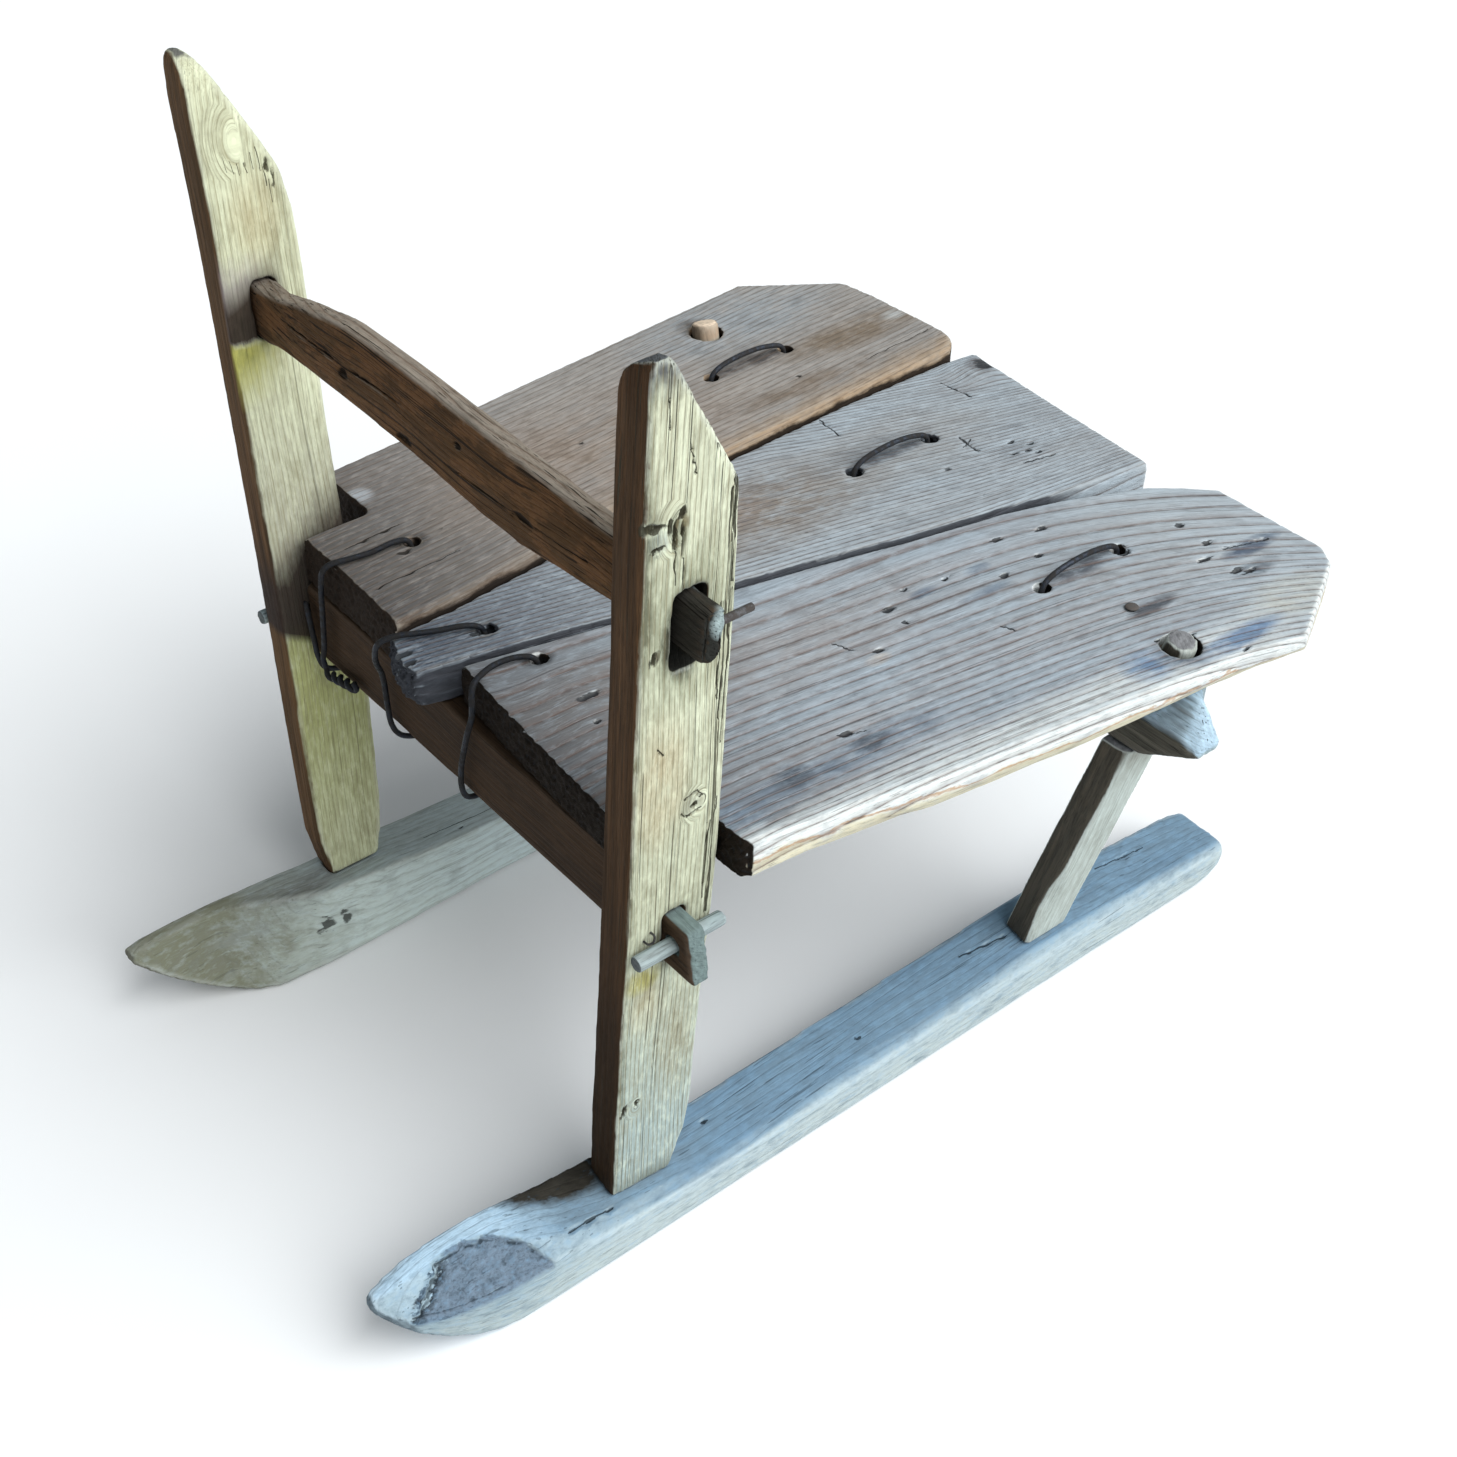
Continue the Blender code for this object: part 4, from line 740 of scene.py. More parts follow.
def hand_in(obj, node, body):
    """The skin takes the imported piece's place and moves with its body."""
    obj.data.name = obj.name
    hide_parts(node)
    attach(obj, body)
    print(node, "has", len(obj.data.polygons), "faces")
    return obj


# %% [markdown]
# The skin of an old piece is made in four steps. A voxel remesh turns the imported shape into an
# even net of small faces, which a subdivision of its long triangles wouldn't. A little smoothing
# wears the arrises round. Then each point moves inward by the depth of the ring grooves, of the
# marks and of clouds drawn out along the grain. Last, flat stretches give up faces that they don't
# need. Two values are kept on the points for the material: worn tells it where the arrises are and
# where corners are hollow, and sunk tells it how far a point lies below its neighbours. The
# material paints dirt and shade into those hollows.

# %% Weathering a imported piece
WEAR_ROUNDS = 5
ARRIS_ROUNDS = 14
HOLLOW_ROUNDS = 6
WORN_FULL = 0.9
FACES_KEPT = 0.37


def place_points(mesh, points):
    mesh.vertices.foreach_set("co", ((points - DATUM) * MM).ravel())
    mesh.update()


def weathered(node, body, voxel, carve):
    """A fine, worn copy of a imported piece. Carve gives the depth in mm at each point."""
    rough = skin_object(node, "_weathered")
    net = rough.modifiers.new("net", "REMESH")
    net.mode = "VOXEL"
    net.voxel_size = voxel * MM
    mesh = evaluated_mesh(rough)
    rough.modifiers.clear()

    edges = np.empty(len(mesh.edges) * 2, np.int32)
    mesh.edges.foreach_get("vertices", edges)
    edges = edges.reshape(-1, 2)
    points = relax(read_points(mesh) / MM + DATUM, edges, WEAR_ROUNDS)
    place_points(mesh, points)
    normals = read_points(mesh, "vertex_normals", "vector")
    worn = np.einsum("ij,ij->i", points - relax(points, edges, ARRIS_ROUNDS), normals)
    deep = carve(points, normals, worn)
    sunk = deep - relax(deep[:, None], edges, HOLLOW_ROUNDS)[:, 0]
    place_points(mesh, points - normals * deep[:, None])
    for name, values in (("worn", worn / WORN_FULL), ("sunk", sunk)):
        told = mesh.attributes.new(name, "FLOAT", "POINT")
        told.data.foreach_set("value", np.clip(values, -1, 1).astype(np.float32))
    mesh.polygons.foreach_set("use_smooth", np.ones(len(mesh.polygons), bool))
    mesh.update()

    rough.data = mesh
    thin = rough.modifiers.new("thin", "DECIMATE")
    thin.ratio = FACES_KEPT
    rough.data = evaluated_mesh(rough)
    rough.modifiers.clear()
    return hand_in(rough, node, body)


# %% [markdown]
# The depth of the carving is a sum, so each kind of wear has one line. Each ring swells up
# between two grooves. Clouds stretched along the grain give fibres. Marks are deep and narrow.
# Arrises lose a little more, unevenly, because that is where old wood splinters, and a sawn
# front end frays into its fibres. A displacement texture could do the first two, but it can't
# tell an arris from a flat side.

# %% How deep each piece is carved
def ring_edge(number, exponent=1.0):
    """1 where one ring meets the next and 0 in the middle of a ring."""
    off = fraction(number) * 2.0 - 1.0
    return power(off * off, exponent)


FINE_FIBRES = (1.6, 30.0)
COARSE_FIBRES = (9.0, 60.0)
FRAYED_FIBRES = (1.5, 14.0)
SPLINTERS = (1.6, 26.0)
SPLINTERS_FROM = 0.45
CHIP_DEPTH = 2.2
ARRIS_FULL = 0.8
CUT_WHERE_FACING = (0.5, 0.8)


def carving(rings, groove, fibre, mark_depth=0.0, marked=None, chips=0.5, broken=None,
            frayed=0.4, ridged=None):
    """
    The depth function of one piece, in mm. Groove and fibre are depths. Chips, frayed and
    broken wear the arrises, the front end and one place. Ridged deepens grooves in places.
    """
    grain = rings.grain

    def long_clouds(points, across, along, seed=0):
        size = [across, across, across]
        size[grain] = along
        return clouds(points, size, seed)

    def depth(points, normals, worn):
        x, y, z = points.T
        fibres = np.column_stack(rings.fibre_place(x, y, z))
        end = np.abs(normals[:, grain])
        grooves = groove * (1.0 + (ridged(x, y, z) if ridged else 0.0))
        deep = grooves * (1 - end) * ring_edge(rings.number(x, y, z))
        deep += fibre * long_clouds(fibres, *FINE_FIBRES)
        deep += 0.5 * fibre * long_clouds(fibres, *COARSE_FIBRES, 3)
        front_end = np.clip(-normals[:, grain], 0, 1)
        deep += front_end * frayed * long_clouds(points, *FRAYED_FIBRES, 5)
        splinter = np.clip(long_clouds(fibres, *SPLINTERS, 7) - SPLINTERS_FROM, 0, 1)
        deep += CHIP_DEPTH * chips * np.clip(worn / ARRIS_FULL, 0, 1) * splinter
        if marked is not None:
            wander = long_clouds(points, 5.0, 30.0, 11) - 0.5
            ragged = 1.4 * (long_clouds(points, 1.6, 3.0, 12) - 0.5)
            at = (x + wander, y + wander, z + wander)
            deep += mark_depth * marked.mask(at, normals.T, ragged, CUT_WHERE_FACING)
        if broken is not None:
            deep += broken(points, normals, worn)
        return deep

    return depth


# %% [markdown]
# Now the three boards. The right board has the boldest rings and its waney side, the left one
# is the smoothest, and the middle one has fine straight ridges, deepest at its front. The net's
# spacing, 1.05 to 1.2 mm, is as fine as the narrowest ring needs and no finer, because half
# the spacing would mean four times the faces.

# %% The boards' skins
FRAME_BODY = "sled_frame"


def ridged_front(x, y, z):
    """The board's front was left rough, with its ridges standing up."""
    return ramp(y, 150.0, 60.0)


board_right = weathered(
    "board_right", FRAME_BODY, voxel=1.05,
    carve=carving(RIGHT_BOARD, groove=0.55, fibre=0.12, mark_depth=1.5,
                  marked=BOARD_RIGHT_MARKS, chips=0.55, frayed=2.2),
)
board_middle = weathered(
    "board_middle", FRAME_BODY, voxel=1.15,
    carve=carving(MIDDLE_BOARD, groove=0.36, fibre=0.10, mark_depth=1.5,
                  marked=BOARD_MIDDLE_MARKS, chips=0.5, frayed=4.0, ridged=ridged_front),
)
board_left = weathered(
    "board_left", FRAME_BODY, voxel=1.2,
    carve=carving(LEFT_BOARD, groove=0.20, fibre=0.12, mark_depth=1.2,
                  marked=BOARD_LEFT_MARKS, chips=0.5, frayed=1.8),
)

# %% [markdown]
# The near runner has lost a flake of wood at the outer corner of its nose. It could be cut out
# with a rough solid, but then its edge would be sharp all round. Instead the flake's outline is
# a polygon seen from above, and the distance inside it gives the depth: along its inner side
# the break stands as a small dark cliff, and from there its rough bed rises to the outer side.

# %% The runners' skins
BREAK_OUTLINE = (
    (130.0, -109.0), (114.0, -84.0), (113.5, -62.0), (124.0, -48.0), (141.0, -36.0),
    (143.0, -60.0), (138.0, -90.0),
)
BREAK_CLIFFS = 1
BREAK_DEPTH = 3.2


def inside(u, v, corners):
    """Distance inside a convex outline in mm, for each side of it. Negative is outside."""
    depths = []
    for start, end in zip(corners, corners[1:] + corners[:1]):
        du, dv = end[0] - start[0], end[1] - start[1]
        length = math.hypot(du, dv)
        depths.append((u - start[0]) * (dv / length) - (v - start[1]) * (du / length))
    return depths


def nearest(depths):
    return functools.reduce(smaller, depths)


def nose_break(x, y, z, lumps):
    """How far a point lies inside the broken patch, and how far from its cliffs, in mm."""
    depths = inside(x + (lumps - 0.5) * 7.0, y + (lumps - 0.5) * 6.0, BREAK_OUTLINE)
    return nearest(depths), nearest(depths[:BREAK_CLIFFS])


def broken_nose(points, normals, worn):
    lumps = 0.6 * clouds(points, (7.0, 9.0, 7.0), 21) + 0.4 * clouds(points, (2.5, 3.0, 2.5), 22)
    within, from_cliff = nose_break(*points.T, lumps)
    bed = 1.0 - 0.8 * ramp(from_cliff, 2.0, 22.0)
    rough = 1.6 * clouds(points, (4.0, 6.0, 4.0), 23) + 1.2 * clouds(points, (1.8, 3.2, 1.8), 24)
    rough += 0.7 * clouds(points, (1.1, 1.4, 1.1), 25)
    up = ramp(normals[:, Z], 0.0, 0.4)
    return ramp(within, 0.0, 2.0) * (BREAK_DEPTH * bed * 0.6 + 0.9 * rough) * up


runner_right = weathered(
    "runner_right", FRAME_BODY, voxel=1.3,
    carve=carving(RUNNER, groove=0.10, fibre=0.16, mark_depth=1.6,
                  marked=RUNNER_RIGHT_MARKS, chips=0.5, broken=broken_nose),
)
runner_left = weathered(
    "runner_left", FRAME_BODY, voxel=1.4,
    carve=carving(RUNNER, groove=0.10, fibre=0.16, mark_depth=1.4,
                  marked=RUNNER_LEFT_MARKS, chips=0.5),
)

# %% [markdown]
# The posts, the rail, the beams and the legs come next, each with its own rings and marks. The
# marks of the near post lie on its outer side, and those of the far post on its inner side,
# because those are the sides that the photograph shows. The rail's right tenon is worn most:
# its corners are knocked off and its end is pitted, which is one more depth added to the sum.

# %% Skins of the posts, the rail, the beams and the legs
TENON_FROM_X = 130.0
HEWN_WEAR = {"groove": 0.12, "fibre": 0.22}
WHITTLED_WEAR = {"groove": 0.08, "fibre": 0.12}


def knocked_tenon(points, normals, worn):
    out = ramp(points[:, X], TENON_FROM_X, TENON_FROM_X + 5.0)
    corners = np.clip(worn / ARRIS_FULL, 0, 1) * (0.5 + clouds(points, (4.0, 4.0, 4.0), 41))
    pits = clouds(points, (1.7, 1.7, 1.7), 42) * ramp(normals[:, X], 0.5, 0.8)
    return out * (2.4 * corners + 1.3 * pits)


post_right = weathered(
    "post_right", FRAME_BODY, voxel=1.05,
    carve=carving(RIGHT_POST, groove=0.16, fibre=0.12, mark_depth=1.9,
                  marked=POST_RIGHT_MARKS, chips=0.7),
)
post_left = weathered(
    "post_left", FRAME_BODY, voxel=1.3,
    carve=carving(LEFT_POST, groove=0.12, fibre=0.14, mark_depth=1.4,
                  marked=POST_LEFT_MARKS, chips=0.6),
)
hand_rail = weathered(
    "hand_rail", FRAME_BODY, voxel=1.1,
    carve=carving(RAIL, groove=0.14, fibre=0.28, mark_depth=1.4,
                  marked=RAIL_MARKS, chips=0.6, broken=knocked_tenon),
)
front_beam = weathered("front_beam", FRAME_BODY, 1.2, carving(BEAM, **HEWN_WEAR))
rear_beam = weathered("rear_beam", FRAME_BODY, 1.4, carving(BEAM, **HEWN_WEAR))
leg_right = weathered("leg_right", FRAME_BODY, 1.1, carving(RIGHT_LEG, **WHITTLED_WEAR))
leg_left = weathered("leg_left", FRAME_BODY, 1.2, carving(LEFT_LEG, **WHITTLED_WEAR))
peg_right = weathered("beam_peg_right", "peg_right", 0.6, carving(PEG, **WHITTLED_WEAR))
peg_left = weathered("beam_peg_left", "peg_left", 0.6, carving(PEG, **WHITTLED_WEAR))

# %% [markdown]
# Iron lasts better than wood. The wires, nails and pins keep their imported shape. A voxel net
# would need very small cells to keep a 3 mm wire round, so here one or two subdivisions round
# it off, and a cloud pits it a little, as rust does.

# %% Skins of the iron pieces
PITTING = 0.05
PIT_SIZE = (0.9, 0.9, 0.9)
WELD = 0.01


def rusted(node, body, levels=1):
    """A rounder, pitted copy of a packed iron piece."""
    obj = skin_object(node, "_rusted")
    joined = bmesh.new()
    joined.from_mesh(obj.data)
    bmesh.ops.remove_doubles(joined, verts=joined.verts[:], dist=WELD * MM)
    joined.to_mesh(obj.data)
    joined.free()
    round_off = obj.modifiers.new("round", "SUBSURF")
    round_off.levels = round_off.render_levels = levels
    mesh = evaluated_mesh(obj)
    obj.modifiers.clear()
    points = read_points(mesh) / MM
    normals = read_points(mesh, "vertex_normals", "vector")
    points -= normals * (PITTING * clouds(points, PIT_SIZE, 31))[:, None]
    mesh.vertices.foreach_set("co", (points * MM).ravel())
    mesh.polygons.foreach_set("use_smooth", np.ones(len(mesh.polygons), bool))
    mesh.update()
    obj.data = mesh
    return hand_in(obj, node, body)


ties = {
    node: rusted(node, FRAME_BODY)
    for node in ("tie_front_left", "tie_front_middle", "tie_front_right",
                 "tie_rear_left", "tie_rear_middle", "tie_rear_right")
}
board_nail = rusted("board_nail", FRAME_BODY)
post_staple = rusted("post_staple", FRAME_BODY)
pin_right = rusted("rail_pin_right", "pin_right", 2)
pin_left = rusted("rail_pin_left", "pin_left", 2)

# %% [markdown]
# One recipe finishes all the bare wood, because the pieces differ only in tone and wear. It
# could be a node group, but then the stains, whose number differs, would need one group each.
# This class makes what every wooden piece is coloured with: clouds drawn out along its fibres,
# from slow ones over a hand's width to fine dashes, the lines of its rings, and the two values
# that the weathering left on the mesh.

# %% The grain of bare wood
def shade_of(colour, share):
    """The same colour, darker below 1 and lighter above it."""
    return [c * share for c in colour]


class Grain:
    """
    The masks of one wooden piece, each a number from 0 to 1 over its surface. Only worn and
    sunk run from -1 to 1.
    """

    def __init__(self, slot, rings, fineness):
        self.finish = Finish(slot)
        self.rings = rings
        self.place = self.finish.place()
        self.fibre_place = rings.fibre_place(*self.place)
        self.facing = self.finish.facing()
        self.slow = self.cloud(0.045, 0.012, detail=3.0)
        self.streak = self.cloud(0.30, 0.010, detail=3.0)
        self.fibre = self.cloud(1.4 * fineness, 0.045, detail=3.0, roughness=0.7)
        self.split = self.cloud(0.9 * fineness, 0.006, detail=1.0)
        self.mottle = self.cloud(0.42, 0.13, detail=3.0, roughness=0.6)
        self.grime = self.cloud(0.10, 0.05, detail=5.0, roughness=0.65)
        number = rings.number(*self.place) + (self.streak - 0.5) * 0.14
        self.late = ring_edge(number, 3.0)
        self.shade = power(fraction(number), 3.0)
        self.worn = self.kept_on_points("worn")
        self.sunk = self.kept_on_points("sunk")

    def cloud(self, across, along, **settings):
        """Clouds with this many turns per millimetre across and along the fibres."""
        scale = [across] * 3
        scale[self.rings.grain] = along
        return self.finish.noise(self.fibre_place, scale, **settings)

    def kept_on_points(self, name):
        return self.finish.node("ShaderNodeAttribute", {"attribute_name": name}, output=2)

    def share_of(self, mask):
        """How strongly a stain or a coat lies at each place."""
        return mask(*self.place, self.facing, self.grime)


# %% [markdown]
# The colour is laid on from large to small, as a painter would. A slow cloud shifts the piece
# between its two main tones, and dark streaks follow the grain. Stains lie in known places.
# The ring lines add brown, the mottling adds grey, and the fibres add fine dashes. Each step is
# one Mix node, so any of them can be weakened or left out alone.

# %% Ground, stains and rings
STREAKED, RING_SHADE, LINE_TONE = 0.35, 0.45, 0.75
DARK_CLOUDS, PALE_CLOUDS = (0.45, 0.95), (0.50, 0.05)
MOTTLED_DARK, MOTTLED_LIGHT = 0.22, 0.20
DARK_DASHES, PALE_DASHES = (0.62, 0.95), (0.30, 0.0)
GRIME_PATCHES, GRIMY = (0.60, 0.95), 0.35


def grain_colour(g, tones, stains, ring_colour, ring_strength, dash, mottling):
    """The colour of the flat sides. Tones are (first, second, dark)."""
    f = g.finish
    first, second, dark = tones
    colour = f.mix(g.slow, first, second)
    colour = f.mix(g.streak * STREAKED, colour, dark)
    for mask, stain in stains:
        colour = f.mix(g.share_of(mask), colour, stain)
    colour = f.mix(g.shade * (ring_strength * RING_SHADE), colour, ring_colour)
    broken = (g.mottle * 0.7 + 0.45) * ring_strength
    colour = f.mix(g.late * broken, colour, shade_of(ring_colour, LINE_TONE))
    dim = ramp(g.mottle, *DARK_CLOUDS) * (MOTTLED_DARK * mottling)
    colour = f.mix(dim, colour, shade_of(dark, 1.3))
    pale = ramp(g.mottle, *PALE_CLOUDS) * (MOTTLED_LIGHT * mottling)
    colour = f.mix(pale, colour, shade_of(first, 1.25))
    colour = f.mix(ramp(g.fibre, *DARK_DASHES) * dash, colour, dark)
    light = ramp(g.fibre, *PALE_DASHES) * (dash * 0.5)
    colour = f.mix(light, colour, shade_of(first, 1.3))
    return f.mix(ramp(g.grime, *GRIME_PATCHES) * GRIMY, colour, dark)


# %% [markdown]
# Three things depend on where a surface looks. Arrises are rubbed pale, and fronts that face away
# from the light are painted a deep brown, as painted shade over their own brown. End grain soaks up
# water and goes dark. The object's own normals tell the sides apart, so no side needs a material of
# its own, and the change from one to the next is soft, as it is on worn wood.

# %% Arrises, fronts and ends
RUBBED, CLEAN = (0.22, 0.6), (0.15, 0.6)
NEAR_END_TURN, FAR_END_TURN = (0.4, 0.65), (0.8, 0.92)
END_SHARE, END_FLECKS = 0.98, 2.0


def rub_arrises(g, colour, edge_colour, edge_share):
    rim = ramp(g.worn, *RUBBED) * ramp(g.grime, *CLEAN)
    return g.finish.mix(rim * edge_share, colour, edge_colour)


# Painted shade: surfaces that face the front, away from the light, are darkened to a deep brown
# over the wood's own brown.
def brown_and_shaded_front(g, colour, front, front_colour, front_share):
    f = g.finish
    brown = f.mix(g.streak, shade_of(front_colour, 0.5), shade_of(front_colour, 1.5))
    brown = f.mix(ramp(g.fibre, 0.5, 0.9) * 0.6, brown, shade_of(front_colour, 0.25))
    return f.mix(front * front_share, colour, brown)


def end_grain(g, colour, near_colour, far_colour, whole):
    """Both ends of the piece, and a mask that is 1 on them. Whole is 0 in pits and cracks."""
    f = g.finish
    end = 0.0
    near, far = (-1.0, near_colour, NEAR_END_TURN), (1.0, far_colour, FAR_END_TURN)
    for sign, tone, turn in (near, far):
        here = ramp(g.facing[g.rings.grain] * sign, *turn) * whole
        flecked = f.mix(g.mottle, tone, shade_of(tone, END_FLECKS))
        colour = f.mix(here * END_SHARE, colour, flecked)
        end = here + end
    return colour, end


# %% [markdown]
# Coats lie over the grain and hide it, unlike the stains below it. Some coats are grime, and some
# are painted shade. Where the mesh is sunk and in hollow corners, dirt and painted shade darken it.
# What stands up is rubbed lighter and also gets a painted highlight. Last come thin splits along
# the grain and the torn wood of a break. These two are too fine for the mesh, so each also gives a
# height for the bump, together with its colour.

# %% Coats, dirt, painted shade, splits and torn wood
COAT_SHARE = 0.95
IN_HOLLOWS, IN_CORNERS, ON_RIDGES = (0.16, 0.6), (-0.10, -0.45), (-0.10, -0.35)
SPLITS_FROM, SPLIT_RIM = 1.02, 0.07
TORN_GRAIN = (0.62, 0.34, 0.62)
TORN_DARK, TORN_LIGHT, TORN_DEPTH = (0.52, 0.88), (0.45, 0.1), 2.5


def coats_dirt_and_shade(g, colour, coats, first, dark, end):
    f = g.finish
    for mask, coat in coats:
        uneven = f.mix(g.mottle, shade_of(coat, 0.75), shade_of(coat, 1.3))
        colour = f.mix(g.share_of(mask) * COAT_SHARE, colour, uneven)
    # Dirt and painted shade darken sunk places and hollow corners. Raised places are made lighter,
    # partly as wear and partly as a painted highlight.
    dirt_and_shade = ramp(g.sunk, *IN_HOLLOWS) * 0.75 + ramp(g.worn, *IN_CORNERS) * 0.85
    colour = f.mix(dirt_and_shade, colour, shade_of(dark, 0.2))
    raised_wear_and_highlight = ramp(g.sunk, *ON_RIDGES) * (1.0 - end)
    return f.mix(raised_wear_and_highlight * 0.25, colour, shade_of(first, 1.2))


def open_splits(g, colour, height, splits, split_zone, dark):
    """Splits run from 0 for none to 1 for many, and open more in the split zone."""
    zone = g.share_of(split_zone) if split_zone else 0.0
    start = SPLITS_FROM - 0.12 * splits
    opened = ramp(g.split + zone * 0.28, start, start + SPLIT_RIM)
    return g.finish.mix(opened * 0.85, colour, shade_of(dark, 0.25)), height - opened


def tear(g, colour, height, torn, first, dark):
    f = g.finish
    zone = g.share_of(torn)
    grit = f.noise(g.place, TORN_GRAIN, detail=6.0, roughness=0.75)
    colour = f.mix(zone * ramp(grit, *TORN_DARK) * 0.55, colour, shade_of(dark, 0.40))
    colour = f.mix(zone * ramp(grit, *TORN_LIGHT) * 0.5, colour, shade_of(first, 1.4))
    return colour, height - grit * zone * TORN_DEPTH


# %% [markdown]
# The recipe puts these steps in their order. Every piece calls it with its own tones and marks,
# and leaves out what it doesn't have. Bare weathered wood hardly shines, so its gloss is set
# low once, and only the roughness changes a little with the grain.

# %% The recipe for bare wood
BARE_GLOSS = 0.08
GRAIN_HEIGHT = 0.7
DRY_ROUGHNESS = 0.93
DARK_WHERE_FACING = (0.1, 0.35)


def wood(slot, rings, tones, ring_colour, ring_strength, dash=0.5, marked=None,
         stains=(), coats=(), splits=0.0, split_zone=None, front_colour=(0.10, 0.062, 0.036),
         front_share=0.95, front_turn=(0.4, 0.75), end_colour=(0.05, 0.045, 0.04),
         far_end_colour=None, edge_colour=(0.45, 0.45, 0.42), edge_share=0.5, bump=0.6,
         fineness=1.0, mottling=1.0, torn=None):
    """
    A finish of weathered wood. Stains and coats are (mask, colour) pairs. Marked holds the
    marks of one face, and torn masks a raw, gritty break.
    """
    g = Grain(slot, rings, fineness)
    f = g.finish
    first, second, dark = tones
    colour = grain_colour(g, tones, stains, ring_colour, ring_strength, dash, mottling)
    colour = rub_arrises(g, colour, edge_colour, edge_share)
    # front is 1 on surfaces that face the front, away from the light, where shade is painted.
    front = ramp(g.facing[Y] * -1.0, *front_turn)
    if rings.grain != Y:
        colour = brown_and_shaded_front(g, colour, front, front_colour, front_share)
    cut, whole = None, 1.0
    if marked is not None:
        wander = (g.cloud(0.16, 0.03, detail=1.0) - 0.5) * 1.2
        at = [place + wander for place in g.place]
        cut = marked.mask(at, g.facing, (g.mottle - 0.5) * 2.0, DARK_WHERE_FACING)
        whole = 1.0 - ramp(cut, 0.0, 0.2)
    colour, end = end_grain(g, colour, end_colour, far_end_colour or end_colour, whole)
    colour = coats_dirt_and_shade(g, colour, coats, first, dark, end)

    height = g.fibre * 0.45 + g.grime * 0.25 - g.late * 0.5
    if splits:
        colour, height = open_splits(g, colour, height, splits, split_zone, dark)
    if cut:
        colour = f.mix(ramp(cut, 0.1, 0.5) * 0.85, colour, shade_of(dark, 0.22))
        height = height - cut * 1.5
    if torn:
        colour, height = tear(g, colour, height, torn, first, dark)
    rough = DRY_ROUGHNESS - g.late * 0.10 - g.streak * 0.10 - front * 0.12
    f.shader.inputs["Specular IOR Level"].default_value = BARE_GLOSS
    return f.surface(colour, rough, height, bump, GRAIN_HEIGHT)


# %% [markdown]
# A mesh keeps its finish in a list of material slots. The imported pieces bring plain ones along,
# so the list is emptied first.

# %% Dressing a piece
def dress(piece, finish):
    piece.data.materials.clear()
    piece.data.materials.append(finish.material)
    print(finish.slot, "has", len(finish.tree.nodes), "nodes")


# %% [markdown]
# Water, moss and hands leave stains with soft, frayed rims. They could be painted on a map of
# each piece, but a few kinds of masks are enough. An oval lies on the top of a board or on the
# side of a post, and the grime cloud frays its rim. A band lies beyond one height or length.

# %% Kinds of stains
def oval(middle, reach, strength=1.0):
    """A stain on a board's top, at (y, x)."""

    def mask(x, y, z, facing, grime):
        frayed = spot(y, x, middle, reach) * (grime * 1.3 + 0.25) * strength
        return frayed * ramp(facing[Z], 0.3, 0.7)

    return mask


def post_oval(middle, reach, strength=1.0):
    """A stain on a post's side, at (z, y)."""

    def mask(x, y, z, facing, grime):
        return spot(z, y, middle, reach) * (grime + 0.45) * strength

    return mask


def band(axis, full, gone, strength=1.0, fray=20.0):
    """A stain that is full at one place along an axis and gone at another."""

    def mask(x, y, z, facing, grime):
        place = (x, y, z)[axis]
        return ramp(place + (grime - 0.5) * fray, gone, full) * strength

    return mask


def both(first, second):
    """Only where two masks overlap."""

    def mask(*at):
        return first(*at) * second(*at)

    return mask


def turned(axis, sign, start=0.4, full=0.75):
    """Only where the surface turns to one side."""

    def mask(x, y, z, facing, grime):
        return ramp(facing[axis] * sign, start, full)

    return mask


# %% [markdown]
# The right board is blue-grey with reddish lines. Its outer strip is bleached, blue tints lie
# round the leg's round end, and small stains follow the grain. Its waney side is cream below
# and almost white above, with one orange line where the bark's last ring was. Every stain has
# its place in millimetres, measured on the photograph, because a random scatter would look
# alike on all three boards.

# %% Finish of the right board
BARK_LINE_Z = 223.0


def bleached_strip(x, y, z, facing, grime):
    edge = 146.0 + 0.085 * y
    return ramp(x - edge + grime * 9.0, -3.0, 10.0) * ramp(y, 345.0, 300.0) * 0.92


def bark_line(x, y, z, facing, grime):
    off = z - BARK_LINE_Z + grime * 4.0 + sine(y * 0.04) * 1.2
    return larger(1.0 - off * off, 0.0) * ramp(facing[X], 0.4, 0.8) * 0.8


